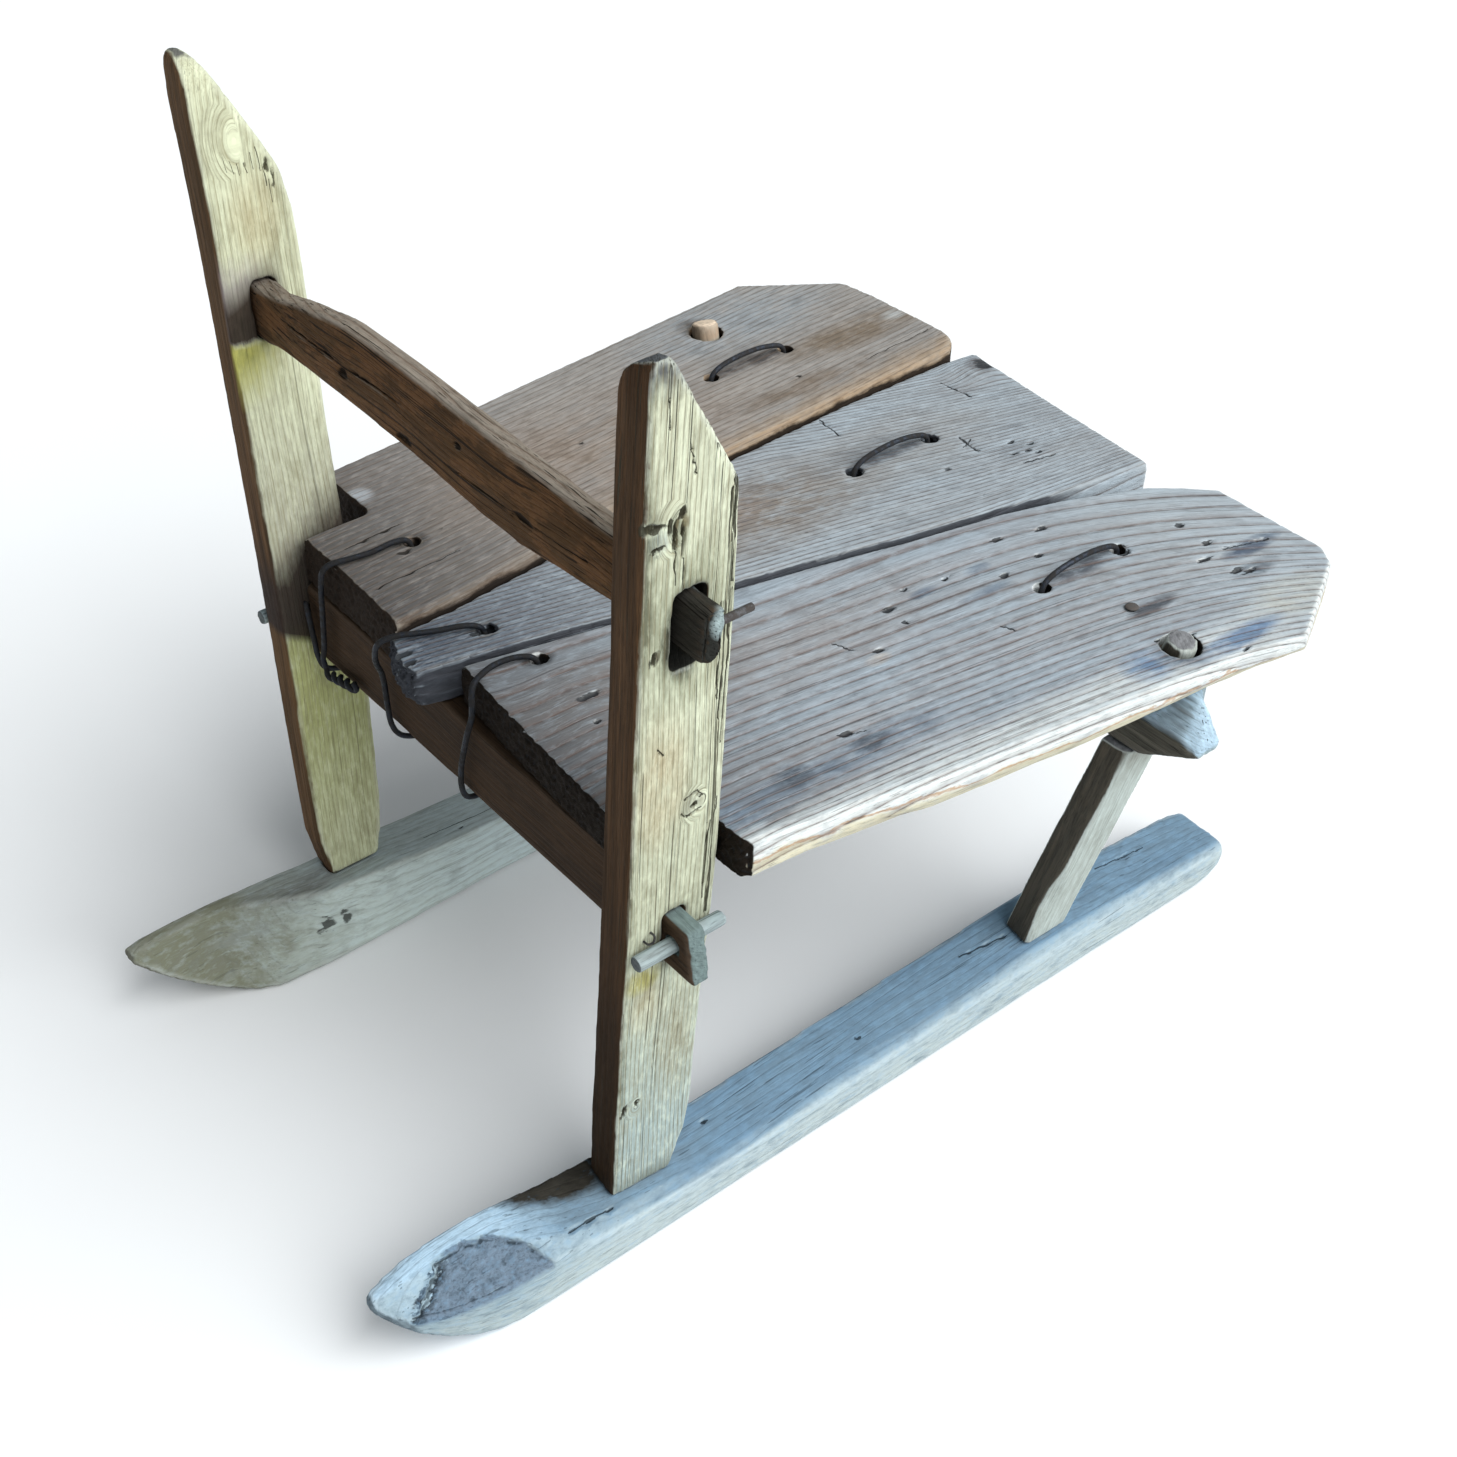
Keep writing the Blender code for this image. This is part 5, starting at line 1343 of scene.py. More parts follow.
BLUE = (0.17, 0.225, 0.29)
INK = (0.095, 0.12, 0.15)
END_DARK = (0.014, 0.009, 0.006)
BOARD_RIGHT_STAINS = (
    # Painted shade: the top darkens towards the board's front.
    (band(Y, 5.0, 130.0, 0.88), (0.10, 0.092, 0.088)),
    (band(Y, 345.0, 300.0, 0.5), (0.56, 0.63, 0.67)),
    (oval((150.0, 66.0), (110.0, 36.0), 0.5), (0.34, 0.31, 0.29)),
    (oval((70.0, 45.0), (70.0, 40.0), 0.7), (0.20, 0.18, 0.165)),
    (oval((300.0, 110.0), (90.0, 60.0), 0.35), (0.42, 0.42, 0.41)),
    (oval((60.0, 137.0), (34.0, 12.0), 0.9), BLUE),
    (oval((125.0, 138.0), (60.0, 11.0), 0.8), BLUE),
    (oval((88.0, 133.0), (11.0, 9.0), 1.2), INK),
    (oval((128.0, 136.0), (12.0, 7.0), 1.1), INK),
    (oval((190.0, 166.0), (14.0, 5.0), 1.1), INK),
    (oval((218.0, 73.0), (10.0, 3.4), 1.1), BLUE),
    (oval((250.0, 75.0), (9.0, 4.4), 1.1), BLUE),
    (oval((240.0, 90.0), (18.0, 4.0), 0.8), BLUE),
    (oval((291.0, 143.0), (17.0, 5.0), 1.3), (0.09, 0.10, 0.115)),
    (oval((364.0, 139.0), (22.0, 6.0), 1.4), (0.11, 0.145, 0.20)),
    (oval((352.0, 152.0), (16.0, 6.0), 0.9), INK),
    # Iron stain and painted shade where the rear wire sinks into the board.
    (oval((287.0, 103.0), (32.0, 6.5), 1.2), (0.11, 0.125, 0.145)),
    # Iron stain and painted shade round the front wire's hole.
    (oval((54.0, 7.0), (9.0, 7.0), 1.4), (0.06, 0.065, 0.07)),
    (oval((168.0, 97.0), (8.0, 4.0), 1.0), (0.56, 0.50, 0.44)),
    (bleached_strip, (0.74, 0.79, 0.79)),
    (oval((345.0, 176.0), (34.0, 16.0), 1.0), (0.60, 0.62, 0.58)),
    (oval((256.0, 171.0), (16.0, 12.0), 1.2), (0.18, 0.28, 0.42)),
    (oval((302.0, 182.0), (34.0, 7.0), 1.2), (0.20, 0.31, 0.47)),
    (oval((273.0, 174.0), (15.0, 13.0), 1.1), (0.13, 0.16, 0.20)),
    (turned(X, 1.0, 0.25, 0.6), (0.86, 0.89, 0.87)),
    (both(turned(X, 1.0, 0.3, 0.7), band(Z, 219.0, 223.0, 0.9, 6.0)), (0.74, 0.68, 0.48)),
    (bark_line, (0.56, 0.32, 0.16)),
)
# Painted shade: the board's front end is painted nearly black.
BOARD_RIGHT_SHADED_FRONT = ((turned(Y, -1.0, 0.45, 0.65), (0.014, 0.010, 0.007)),)
dress(board_right, wood(
    "board_right_wood", RIGHT_BOARD,
    tones=((0.43, 0.51, 0.575), (0.44, 0.47, 0.50), (0.145, 0.155, 0.17)),
    ring_colour=(0.19, 0.12, 0.09), ring_strength=0.85, dash=0.5,
    marked=BOARD_RIGHT_MARKS, stains=BOARD_RIGHT_STAINS, coats=BOARD_RIGHT_SHADED_FRONT,
    splits=0.45, end_colour=END_DARK,
    far_end_colour=(0.34, 0.36, 0.34), edge_colour=(0.52, 0.55, 0.54), bump=0.8,
))

# %% [markdown]
# The middle board is a paler blue-grey at the rear, warmer in its middle, and ridged at its narrow
# front, which is painted dark as shade. Its side by the right board is a dark blue-grey, except
# near the rear end, where light and rain get into the joint. A plain shadow wouldn't be dark
# enough, so a coat darkens the wood itself.

# %% Finish of the middle board
BOARD_MIDDLE_STAINS = (
    # Painted shade: the top darkens towards the board's front.
    (band(Y, 20.0, 165.0, 0.92), (0.046, 0.066, 0.10)),
    (oval((205.0, -22.0), (90.0, 36.0), 1.0), (0.27, 0.235, 0.20)),
    (oval((160.0, -30.0), (60.0, 16.0), 0.8), (0.30, 0.22, 0.165)),
    (oval((300.0, -24.0), (70.0, 34.0), 0.6), (0.38, 0.38, 0.37)),
    # Iron stain and painted shade where the rear wire sinks into the board.
    (oval((290.0, -24.0), (34.0, 7.0), 1.3), (0.09, 0.105, 0.125)),
    (oval((280.0, -30.0), (44.0, 12.0), 0.5), (0.18, 0.20, 0.22)),
    # Iron stain and painted shade round the front wire's hole.
    (oval((48.0, -24.5), (10.0, 8.0), 1.3), (0.04, 0.045, 0.05)),
    (oval((391.0, -60.0), (13.0, 9.0), 1.3), (0.13, 0.13, 0.14)),
    (oval((366.0, -52.0), (24.0, 16.0), 0.5), (0.30, 0.30, 0.30)),
    (oval((340.0, 15.0), (14.0, 9.0), 0.6), (0.22, 0.25, 0.28)),
    (both(turned(X, -1.0), band(Z, 226.0, 230.0, 0.9, 3.0)), (0.06, 0.055, 0.05)),
)
MIDDLE_GAP = ((both(turned(X, 1.0), band(Y, 322.0, 342.0, 1.0, 6.0)), (0.055, 0.058, 0.068)),)
dress(board_middle, wood(
    "board_middle_wood", MIDDLE_BOARD,
    tones=((0.47, 0.545, 0.60), (0.42, 0.45, 0.47), (0.16, 0.17, 0.185)),
    ring_colour=(0.17, 0.13, 0.11), ring_strength=0.95, dash=0.35,
    marked=BOARD_MIDDLE_MARKS, stains=BOARD_MIDDLE_STAINS, coats=MIDDLE_GAP,
    splits=0.3, end_colour=(0.03, 0.032, 0.038),
    far_end_colour=(0.36, 0.40, 0.37), edge_colour=(0.45, 0.47, 0.47), bump=0.7,
))

# %% [markdown]
# The left board is brown-grey with a tan strip by its inner arris, which is a band across the
# board and a band along it multiplied. Its inner side is tan at the rear and dark at the front,
# and nearly black low down in the joint.

# %% Finish of the left board
def inner_arris(x, y, z, facing, grime):
    across = x + 0.09 * (y - 200.0)
    return ramp(across + grime * 8.0, -76.0, -62.0) * ramp(y, 60.0, 200.0) * 0.75


BOARD_LEFT_STAINS = (
    # Painted shade: the top darkens towards the board's front.
    (band(Y, 20.0, 165.0, 0.9), (0.075, 0.072, 0.074)),
    (oval((170.0, -110.0), (110.0, 60.0), 0.7), (0.30, 0.235, 0.185)),
    (oval((310.0, -172.0), (80.0, 34.0), 1.1), (0.33, 0.36, 0.38)),
    (oval((355.0, -122.0), (60.0, 16.0), 1.1), (0.22, 0.175, 0.13)),
    (oval((300.0, -95.0), (60.0, 9.0), 0.9), (0.22, 0.175, 0.135)),
    # Iron stain and painted shade where the rear wire sinks into the board.
    (oval((290.0, -131.0), (34.0, 7.0), 1.3), (0.075, 0.07, 0.07)),
    # Iron stain and painted shade round the front wire's hole.
    (oval((57.0, -97.0), (10.0, 8.0), 1.3), (0.04, 0.04, 0.042)),
    (oval((58.0, -145.0), (9.0, 8.0), 1.1), (0.42, 0.45, 0.48)),
    (oval((386.0, -124.0), (10.0, 6.0), 1.0), (0.46, 0.47, 0.46)),
    (oval((291.0, -177.0), (13.0, 12.0), 1.2), (0.10, 0.095, 0.09)),
    (inner_arris, (0.42, 0.30, 0.19)),
    (both(turned(X, 1.0), band(Y, 210.0, 90.0, 1.0)), (0.40, 0.28, 0.175)),
    (both(turned(X, 1.0), band(Y, 90.0, 210.0, 0.95)), (0.10, 0.064, 0.042)),
)
LEFT_GAP = ((both(turned(X, 1.0), band(Z, 229.5, 231.5, 1.0, 3.0)), (0.020, 0.015, 0.012)),)
dress(board_left, wood(
    "board_left_wood", LEFT_BOARD,
    tones=((0.39, 0.36, 0.33), (0.35, 0.345, 0.335), (0.12, 0.105, 0.09)),
    ring_colour=(0.175, 0.12, 0.085), ring_strength=0.65, dash=0.5,
    marked=BOARD_LEFT_MARKS, stains=BOARD_LEFT_STAINS, coats=LEFT_GAP,
    splits=0.3, end_colour=END_DARK,
    far_end_colour=(0.28, 0.26, 0.22), edge_colour=(0.45, 0.40, 0.33), bump=0.65,
))

# %% [markdown]
# The posts are the palest pieces: cream with a green tinge, dark dashes along the grain, moss on
# the front arris, and a grey, split crown where rain gets in. Round the near post's rail hole the
# wood is bruised and damp, so it is nearly black there. The hole's walls belong to the same mesh,
# so a coat paints shade on them by their place, with no second material.

# %% Finish of the right post
def crown(x, y, z, facing, grime):
    return ramp(z + grime * 8.0 - ramp(facing[X], 0.5, 1.0) * 9.0, 431.0, 442.0)


def mossy_arris(x, y, z, facing, grime):
    wide = ramp(z, 320.0, 345.0) * ramp(z, 405.0, 392.0) * 4.0
    return ramp(y - wide + grime * 5.0, 7.0, 1.5) * ramp(facing[X], 0.3, 0.8) * 0.85


def rear_splits(x, y, z, facing, grime):
    along = ramp(z, 190.0, 225.0) * ramp(z, 404.0, 396.0)
    return ramp(y, 31.0, 36.5) * along + ramp(z, 395.0, 430.0) * 0.4


POST_RIGHT_STAINS = (
    (band(Z, 230.0, 330.0, 0.55), (0.47, 0.50, 0.37)),
    (band(Z, 60.0, 200.0, 0.85), (0.335, 0.44, 0.46)),
    (post_oval((272.0, 14.0), (40.0, 15.0), 0.5), (0.50, 0.37, 0.21)),
    (post_oval((150.0, 14.0), (22.0, 12.0), 0.4), (0.50, 0.40, 0.22)),
    (post_oval((166.0, 10.0), (9.0, 11.0), 1.0), (0.46, 0.43, 0.15)),
    (post_oval((120.0, 30.0), (50.0, 14.0), 0.6), (0.34, 0.33, 0.24)),
    (post_oval((252.5, 30.0), (7.0, 6.0), 1.2), (0.36, 0.37, 0.29)),
    (post_oval((340.0, 21.0), (44.0, 24.0), 0.9), (0.27, 0.29, 0.19)),
    (post_oval((339.0, 21.5), (24.0, 12.5), 2.2), (0.045, 0.05, 0.035)),
    (post_oval((183.0, 24.0), (20.0, 11.0), 1.2), (0.12, 0.125, 0.09)),
    (post_oval((383.0, 6.0), (7.0, 8.0), 1.0), (0.46, 0.52, 0.47)),
    (post_oval((384.0, 15.5), (11.0, 5.0), 1.3), (0.12, 0.12, 0.07)),
    (mossy_arris, (0.095, 0.10, 0.06)),
    (crown, (0.12, 0.13, 0.14)),
)


def painted_hole_shade(x, y, z, facing, grime):
    """Painted shade on the inside of the rail's hole."""
    inner = ramp(z, 312.0, 316.0) * ramp(z, 366.0, 362.0) * ramp(y, 8.5, 10.0) * ramp(y, 34.0, 32.5)
    return inner * ramp(facing[X], 0.75, 0.5)


def post_foot(x, y, z, facing, grime):
    return ramp(z + grime * 10.0, 44.0, 32.0) * 0.7


POST_RIGHT_COATS = (
    # Painted shade inside the rail's hole.
    (painted_hole_shade, (0.022, 0.022, 0.018)),
    (post_foot, (0.16, 0.18, 0.15)),
    (both(turned(Y, -1.0, 0.5, 0.75), band(Z, 130.0, 230.0, 0.95)), (0.032, 0.018, 0.009)),
)
dress(post_right, wood(
    "post_right_wood", RIGHT_POST,
    tones=((0.88, 0.93, 0.71), (0.76, 0.78, 0.58), (0.21, 0.19, 0.12)),
    ring_colour=(0.34, 0.28, 0.155), ring_strength=0.65, dash=0.5,
    marked=POST_RIGHT_MARKS, stains=POST_RIGHT_STAINS, coats=POST_RIGHT_COATS,
    splits=0.7, split_zone=rear_splits,
    front_colour=(0.082, 0.042, 0.019), front_share=0.99,
    end_colour=(0.07, 0.075, 0.08), edge_colour=(0.70, 0.74, 0.66), bump=0.85, fineness=1.5,
))

# %% [markdown]
# The far post is half covered by the seat beam and the rail. Beside the board's end its inner side
# is painted dark brown, as dirt and the seat's painted shadow, and the rail's shadow is painted
# beside the rail. Right below, where water ran, it is green with moss, painted lighter low down
# against the sled's shadow. The coats have one sharp rim, at the height where the other piece ends,
# and soft rims elsewhere: each is a product of ramps, since an oval has the same rim all round.

# %% Finish of the left post
RAIL_LOWER_ARRIS_Z = 330.5
MOSS_FROM = 184.0


def seat_shadow_and_dirt(x, y, z, facing, grime):
    """Dirt and the seat's painted shadow beside the board's end, cut off sharply where the moss
    begins.
    """
    slope = z - (y - 5.0) * 0.7 + (grime - 0.5) * 10.0
    return ramp(slope, 236.0, 208.0) * ramp(z + y * 0.55, MOSS_FROM, MOSS_FROM + 5.0)


def inner_side(facing):
    return ramp(facing[X], 0.2, 0.6)


def painted_rail_shadow(x, y, z, facing, grime):
    """The rail's painted shadow on the post beside it, cut off sharply at the height of its lower
    arris.
    """
    above = ramp(z + (grime - 0.5) * 4.0, RAIL_LOWER_ARRIS_Z, RAIL_LOWER_ARRIS_Z + 3.0)
    return above * ramp(z - y * 0.5, 356.0, 342.0) * ramp(y, 34.0, 22.0) * inner_side(facing)


def painted_rail_shadow_rim(x, y, z, facing, grime):
    """The paler grey rim above that painted shadow."""
    above = ramp(z, RAIL_LOWER_ARRIS_Z, RAIL_LOWER_ARRIS_Z + 3.0) * inner_side(facing)
    return above * ramp(z + (grime - 0.5) * 10.0, 372.0, 356.0) * ramp(y, 34.0, 16.0) * 0.75


def rail_moss(x, y, z, facing, grime):
    below = ramp(z + (grime - 0.5) * 4.0, RAIL_LOWER_ARRIS_Z + 2.0, RAIL_LOWER_ARRIS_Z - 1.0)
    return below * ramp(z - y * 0.3, 298.0, 322.0) * ramp(y, 32.0, 12.0) * inner_side(facing)


POST_LEFT_STAINS = (
    (band(Z, 270.0, 300.0, 0.5), (0.48, 0.48, 0.38)),
    (band(Z, 225.0, 275.0, 0.5, 24.0), (0.30, 0.28, 0.25)),
    # Painted light: the moss and the pale foot are painted lighter than the wood is, against the
    # sled's shadow below the seat.
    (band(Z, 180.0, 190.0, 1.0, 6.0), (0.50, 0.52, 0.22)),
    (band(Z, 60.0, 140.0, 0.75), (0.56, 0.58, 0.40)),
    (post_oval((385.0, 24.0), (22.0, 14.0), 0.6), (0.50, 0.42, 0.24)),
    (mossy_arris, (0.16, 0.15, 0.09)),
)
POST_LEFT_COATS = (
    # Dirt and the seat's painted shadow.
    (seat_shadow_and_dirt, (0.040, 0.028, 0.023)),
    # Painted shadow of the rail on the post, with its paler grey rim above.
    (painted_rail_shadow_rim, (0.33, 0.29, 0.29)),
    (painted_rail_shadow, (0.042, 0.029, 0.020)),
    (rail_moss, (0.50, 0.48, 0.13)),
)
dress(post_left, wood(
    "post_left_wood", LEFT_POST,
    tones=((0.80, 0.83, 0.60), (0.72, 0.74, 0.52), (0.24, 0.21, 0.12)),
    ring_colour=(0.38, 0.33, 0.18), ring_strength=0.55, dash=0.6,
    marked=POST_LEFT_MARKS, stains=POST_LEFT_STAINS, coats=POST_LEFT_COATS,
    splits=0.4,
    front_colour=(0.11, 0.058, 0.027), front_share=0.98,
    end_colour=(0.10, 0.10, 0.09), edge_colour=(0.68, 0.70, 0.54), bump=0.7, fineness=1.5,
))

# %% [markdown]
# The rail is polished dark by hands, with a greyer top and orange streaks where the surface
# wore through. Hands reach it from everywhere, so it has no front of another colour: the wear
# follows the clouds and the way a side faces. Its right tenon is sooty, with one light corner.

# %% Finish of the rail
def rail_top(x, y, z, facing, grime):
    return ramp(facing[Z], 0.25, 0.7) * (grime * 0.4 + 0.6)


def orange_wear(x, y, z, facing, grime):
    return ramp(grime, 0.42, 0.66) * ramp(facing[Y], 0.2, -0.3) * 0.75


def tenon_end(x, y, z, facing, grime):
    return ramp(x, 127.0, 131.0)


def light_corner(x, y, z, facing, grime):
    return spot(y, z, (28.5, 349.0), (9.0, 9.0)) * 1.6 * ramp(facing[X] + facing[Z] * 0.4, 0.4, 0.7)


RAIL_STAINS = ((orange_wear, (0.175, 0.085, 0.036)), (rail_top, (0.37, 0.325, 0.27)))
RAIL_COATS = (
    # Painted shade on the rail's left end, beside the far post.
    (band(X, -150.0, -124.0, 0.6, 16.0), (0.034, 0.026, 0.021)),
    (tenon_end, (0.022, 0.022, 0.019)),
    (light_corner, (0.36, 0.44, 0.44)),
)
dress(hand_rail, wood(
    "rail_wood", RAIL,
    tones=((0.103, 0.056, 0.024), (0.078, 0.041, 0.018), (0.022, 0.013, 0.007)),
    ring_colour=(0.13, 0.060, 0.022), ring_strength=0.6, dash=0.7,
    marked=RAIL_MARKS, stains=RAIL_STAINS, coats=RAIL_COATS,
    splits=1.0, front_share=0.0,
    end_colour=(0.05, 0.055, 0.052), edge_colour=(0.36, 0.32, 0.27), bump=0.9,
))

# %% [markdown]
# The beams are brown where the seat shades them, and pale where their ends stick out into the
# light. They have no stains in known places. A coat that begins at the post's outer side
# bleaches the ends, which is simpler than cutting each beam into two materials.

# %% Finishes of the beams
def beam_tenons(x, y, z, facing, grime):
    out = ramp(x, 134.0, 137.0) + ramp(x, -146.0, -149.0)
    return out * ramp(facing[Y], -0.7, -0.3)


dress(front_beam, wood(
    "front_beam_wood", BEAM,
    tones=((0.064, 0.038, 0.022), (0.040, 0.025, 0.016), (0.014, 0.010, 0.007)),
    ring_colour=(0.10, 0.056, 0.027), ring_strength=0.4, dash=0.6,
    coats=((beam_tenons, (0.155, 0.205, 0.20)),), splits=0.5, front_share=0.0,
    end_colour=(0.10, 0.14, 0.135), edge_colour=(0.14, 0.10, 0.07), edge_share=0.35, bump=0.6,
))


def beam_tongues(x, y, z, facing, grime):
    out = ramp(x, 160.0, 168.0) + ramp(x, -160.0, -168.0)
    return out * ramp(facing[Y], -0.9, -0.7) * ramp(facing[Z], -0.05, 0.2)


dress(rear_beam, wood(
    "rear_beam_wood", BEAM,
    tones=((0.20, 0.18, 0.15), (0.165, 0.155, 0.135), (0.07, 0.065, 0.06)),
    ring_colour=(0.24, 0.22, 0.20), ring_strength=0.5, dash=0.7,
    coats=((beam_tongues, (0.43, 0.57, 0.68)),), splits=0.7,
    front_colour=(0.085, 0.078, 0.062), front_turn=(0.55, 0.8),
    end_colour=(0.24, 0.30, 0.32), edge_colour=(0.34, 0.40, 0.43), bump=0.8,
))

# %% [markdown]
# The runners are the bluest pieces, because snow and water have washed them. The near one has
# a raw grey break on its nose, dark along its cliff. The colour of the break asks the same
# distance formula as its shape does, so the two keep the same ragged outline.

# %% Finish of the right runner
def raw_break(x, y, z, facing, grime):
    within = nose_break(x, y, z, grime)[0]
    return ramp(within, 0.2, 1.2) * ramp(facing[Z], 0.0, 0.4) * 0.9


def dark_cliff(x, y, z, facing, grime):
    within, from_cliff = nose_break(x, y, z, grime)
    return ramp(within, -0.4, 0.6) * ramp(from_cliff, 4.5, 1.0) * ramp(facing[Z], 0.0, 0.4)


RUNNER_RIGHT_STAINS = (
    (band(Y, -60.0, -20.0, 0.95, 14.0), (0.50, 0.68, 0.82)),
    (turned(X, 1.0, 0.35, 0.8), (0.44, 0.53, 0.565)),
    (both(turned(X, 1.0, 0.35, 0.8), band(Y, -60.0, 0.0, 0.8, 30.0)), (0.28, 0.37, 0.41)),
    (both(turned(X, 1.0, 0.35, 0.8), band(Z, 8.0, 24.0, 0.6, 16.0)), (0.50, 0.55, 0.52)),
    (oval((10.0, 118.0), (60.0, 20.0), 0.5), (0.16, 0.20, 0.22)),
)
RUNNER_RIGHT_COATS = (
    # Painted shadow of the near post on the runner's top, just in front of it.
    (oval((-10.0, 103.0), (40.0, 17.0), 2.0), (0.035, 0.032, 0.026)),
    (raw_break, (0.165, 0.22, 0.29)),
    (dark_cliff, (0.022, 0.025, 0.028)),
)
dress(runner_right, wood(
    "runner_right_wood", RUNNER,
    tones=((0.165, 0.275, 0.39), (0.205, 0.315, 0.41), (0.10, 0.145, 0.185)),
    ring_colour=(0.15, 0.185, 0.21), ring_strength=0.25, dash=0.2,
    marked=RUNNER_RIGHT_MARKS, stains=RUNNER_RIGHT_STAINS, coats=RUNNER_RIGHT_COATS,
    splits=0.45,
    end_colour=(0.10, 0.13, 0.15), edge_colour=(0.46, 0.55, 0.60), bump=0.6,
    mottling=1.7, torn=raw_break,
))

# %% [markdown]
# The far runner is paler and greener, and its nose is dark olive, where moss grew in the shade. Its
# inner side and its rear are painted paler still, as painted light against the sled's shadow. It
# has no break, so a few bands along it and one on the side that faces us are enough.

# %% Finish of the left runner
RUNNER_LEFT_STAINS = (
    # Painted light: the inner side and the rear are painted paler against the sled's shadow.
    (turned(X, 1.0, 0.3, 0.7), (0.58, 0.66, 0.62)),
    (band(Y, 110.0, 20.0, 0.8, 40.0), (0.60, 0.70, 0.71)),
    (band(Y, -60.0, 10.0, 0.9, 40.0), (0.155, 0.15, 0.085)),
    (oval((-20.0, -120.0), (50.0, 12.0), 0.8), (0.20, 0.21, 0.19)),
)
dress(runner_left, wood(
    "runner_left_wood", RUNNER,
    tones=((0.42, 0.50, 0.52), (0.46, 0.51, 0.48), (0.18, 0.19, 0.17)),
    ring_colour=(0.24, 0.24, 0.20), ring_strength=0.3, dash=0.35,
    marked=RUNNER_LEFT_MARKS, stains=RUNNER_LEFT_STAINS,
    splits=0.35,
    end_colour=(0.10, 0.10, 0.08), edge_colour=(0.46, 0.48, 0.44), bump=0.6,
    mottling=1.1,
))

# %% [markdown]
# Legs and pegs were whittled with a knife, so their faces are flat and pale, but the legs' fronts
# are painted as dark as the beams, as painted shade over their own brown. The far leg's round end
# still has the colour of new wood.
# The same recipe makes them with weak rings and hardly any stains. The two pegs share one set
# of values in a loop.

# %% Finishes of the legs and the pegs
dress(leg_right, wood(
    "leg_right_wood", RIGHT_LEG,
    tones=((0.55, 0.62, 0.59), (0.48, 0.54, 0.51), (0.20, 0.20, 0.17)),
    ring_colour=(0.34, 0.33, 0.27), ring_strength=0.3, dash=0.55,
    stains=((band(Z, 172.0, 140.0, 0.6, 10.0), (0.30, 0.30, 0.26)),), splits=0.4,
    front_colour=(0.060, 0.048, 0.034), front_turn=(0.72, 0.9),
    end_colour=(0.12, 0.12, 0.12), far_end_colour=(0.135, 0.135, 0.14),
    edge_colour=(0.56, 0.60, 0.57), bump=0.5,
))
dress(leg_left, wood(
    "leg_left_wood", LEFT_LEG,
    tones=((0.48, 0.47, 0.39), (0.44, 0.43, 0.35), (0.20, 0.17, 0.13)),
    ring_colour=(0.34, 0.28, 0.20), ring_strength=0.3, dash=0.45,
    stains=((band(Z, 234.0, 231.0, 1.0, 1.0), (0.46, 0.33, 0.23)),), splits=0.2,
    front_colour=(0.10, 0.078, 0.055), front_turn=(0.72, 0.9), front_share=0.8,
    end_colour=(0.12, 0.11, 0.10), far_end_colour=(0.46, 0.37, 0.28),
    edge_colour=(0.56, 0.48, 0.38), bump=0.4,
))
for piece, slot in ((peg_right, "beam_peg_right_wood"), (peg_left, "beam_peg_left_wood")):
    dress(piece, wood(
        slot, PEG,
        tones=((0.33, 0.42, 0.44), (0.40, 0.45, 0.44), (0.12, 0.13, 0.13)),
        ring_colour=(0.20, 0.21, 0.19), ring_strength=0.4, dash=0.7, splits=0.5,
        end_colour=(0.07, 0.08, 0.08), edge_colour=(0.50, 0.57, 0.58), bump=0.6,
    ))

# %% [markdown]
# Rusted iron is a dark metal under a thin brown crust. It could be one dull brown, but then a wire
# looks like cord. Clouds mix bare metal and crust, and the crust is rough and hardly metallic while
# the metal keeps a dull gloss. The front wires are painted darker, as painted shade.

# %% Finish of the iron
BLOTCHES = (0.35, 0.35, 0.35)
GRIT = (2.6, 2.6, 2.6)
IRON_BUMP = 0.5
IRON_HEIGHT = 0.15
CRUST_RIM = 0.4


def iron(node, metal, crust, crust_share):
    """A finish of rusted iron for the slot of one piece."""
    f = Finish(node + "_iron")
    place = f.place()
    blotch = f.noise(place, BLOTCHES, detail=4.0)
    grit = f.noise(place, GRIT, detail=3.0, roughness=0.7)
    rust = ramp(blotch + grit * 0.4, 1.0 - crust_share, 1.0 + CRUST_RIM - crust_share)
    colour = f.mix(rust, f.mix(grit, metal, shade_of(metal, 1.7)), crust)
    f.feed(f.shader.inputs["Metallic"], 0.85 - rust * 0.75)
    return f.surface(colour, 0.42 + rust * 0.45, grit + rust * 0.6, IRON_BUMP, IRON_HEIGHT)


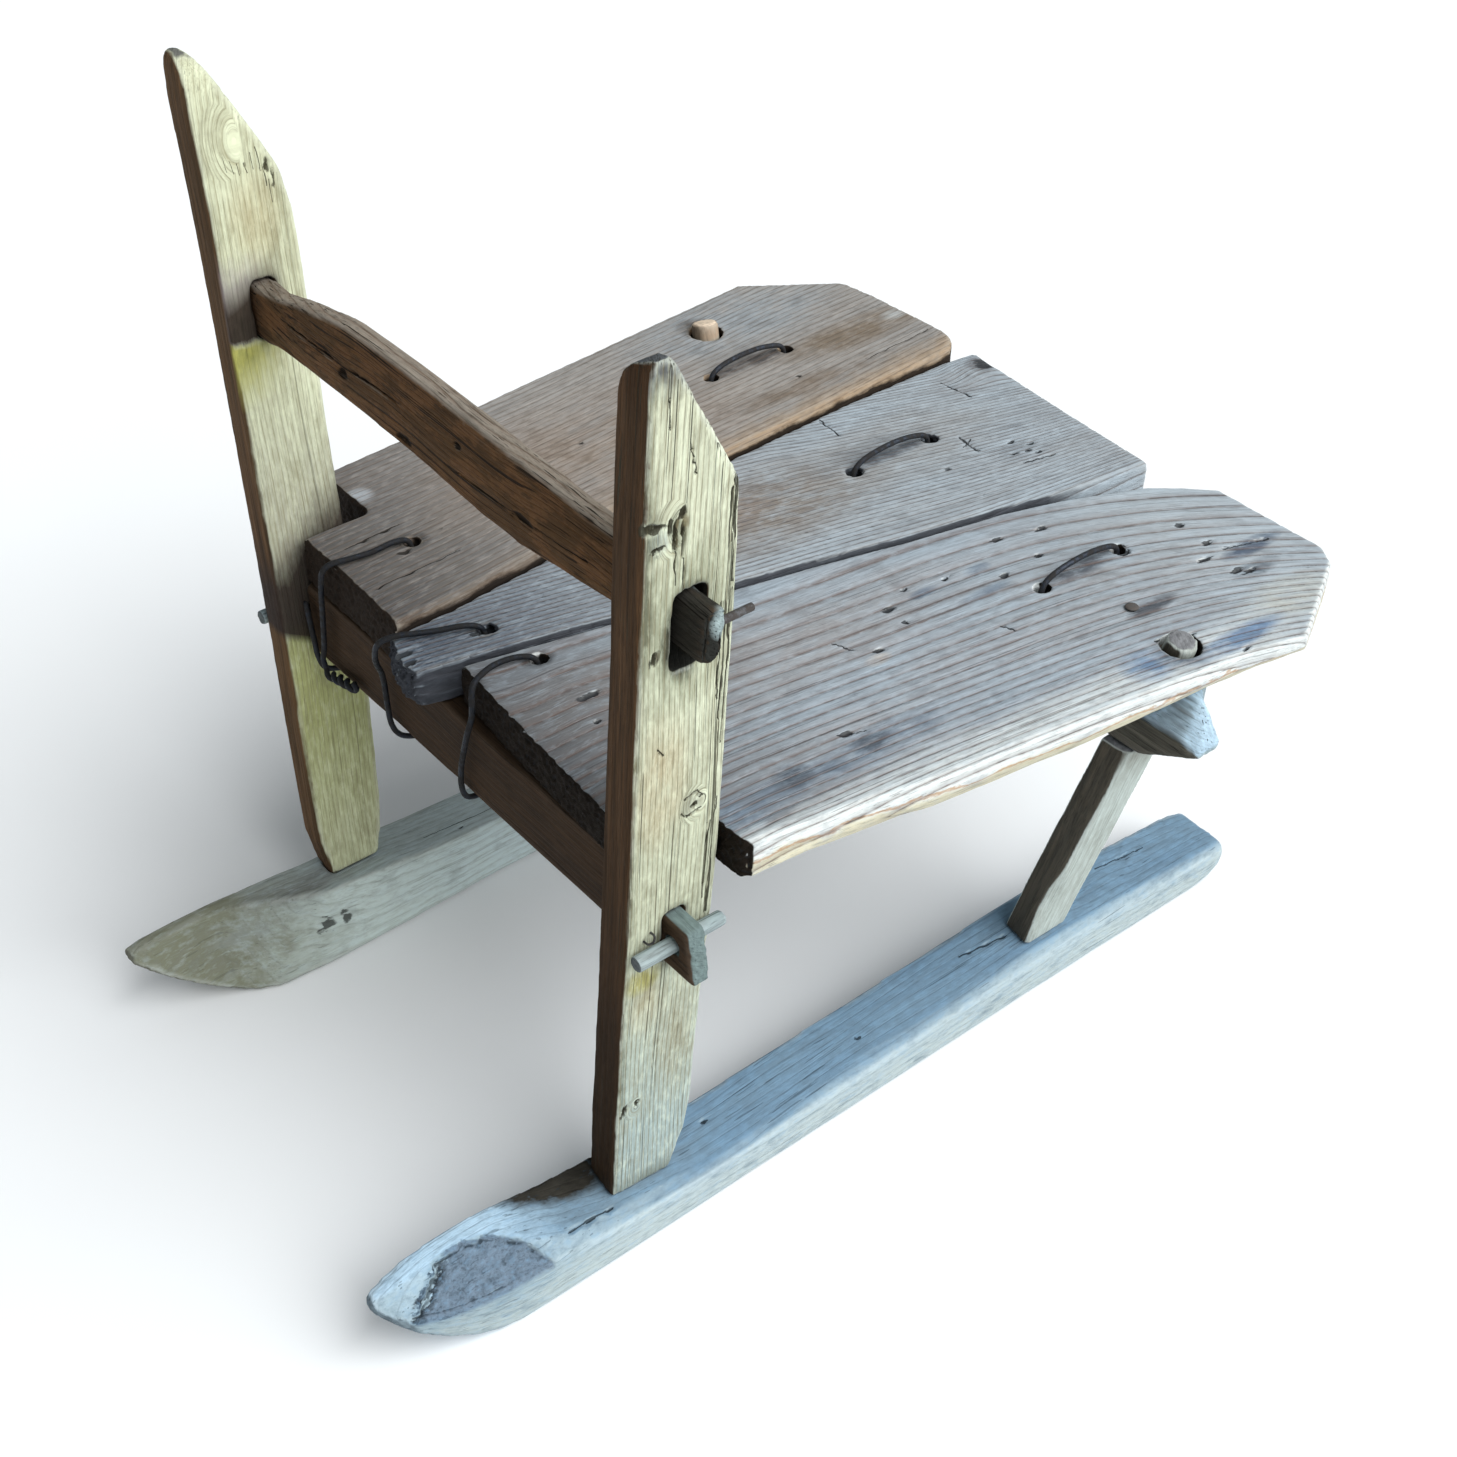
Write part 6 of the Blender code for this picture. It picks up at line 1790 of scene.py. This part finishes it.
WIRE_METAL = (0.036, 0.042, 0.055)
CRUST = (0.022, 0.020, 0.020)
NAIL_METAL = (0.10, 0.10, 0.10)
PIN_CRUST = (0.06, 0.05, 0.045)
# The front wires get painted shade: their metal and crust are darkened more than the rear ones'.
FRONT_WIRES_SHADED, REAR_WIRES_TONE = 0.45, 0.9
for node, piece in ties.items():
    wire_darkening = FRONT_WIRES_SHADED if "front" in node else REAR_WIRES_TONE
    dress(piece, iron(node, shade_of(WIRE_METAL, wire_darkening), shade_of(CRUST, wire_darkening), 0.55))
dress(board_nail, iron("board_nail", NAIL_METAL, (0.10, 0.085, 0.075), 0.7))
dress(post_staple, iron("post_staple", (0.09, 0.09, 0.09), CRUST, 0.7))
dress(pin_right, iron("rail_pin_right", (0.10, 0.10, 0.105), PIN_CRUST, 0.6))
dress(pin_left, iron("rail_pin_left", NAIL_METAL, PIN_CRUST, 0.6))

# %% [markdown]
# The floor is a plain pale sheet under the runners. A curved studio sweep would hide the
# horizon in low views, but a flat sheet that fills the camera's view is enough and catches an
# even shadow. It lies a hair below the soles, so that the two don't share a plane, and a faint
# cloud keeps it from looking like cut-out paper.

# %% Floor
FLOOR_SIDE = 12.0
FLOOR_DROP = 0.0006
FLOOR_HAZE = (0.004, 0.004, 0.004)
FLOOR_TONE = (0.93, 0.93, 0.93)
FLOOR_LIGHT_TONE = (0.95, 0.95, 0.95)
FLOOR_ROUGHNESS = 0.9
sheet = bmesh.new()
bmesh.ops.create_grid(sheet, x_segments=4, y_segments=4, size=FLOOR_SIDE / 2)
floor_mesh = bpy.data.meshes.new("floor")
sheet.to_mesh(floor_mesh)
sheet.free()
floor = bpy.data.objects.new("floor", floor_mesh)
floor.location.z = -FLOOR_DROP
bpy.context.scene.collection.objects.link(floor)
pale = Finish("floor_paint")
haze = pale.noise(pale.place(), FLOOR_HAZE)
pale.feed(pale.shader.inputs["Base Color"], pale.mix(haze, FLOOR_TONE, FLOOR_LIGHT_TONE))
pale.shader.inputs["Roughness"].default_value = FLOOR_ROUGHNESS
floor_mesh.materials.append(pale.material)
print("the floor is", FLOOR_SIDE, "m wide")
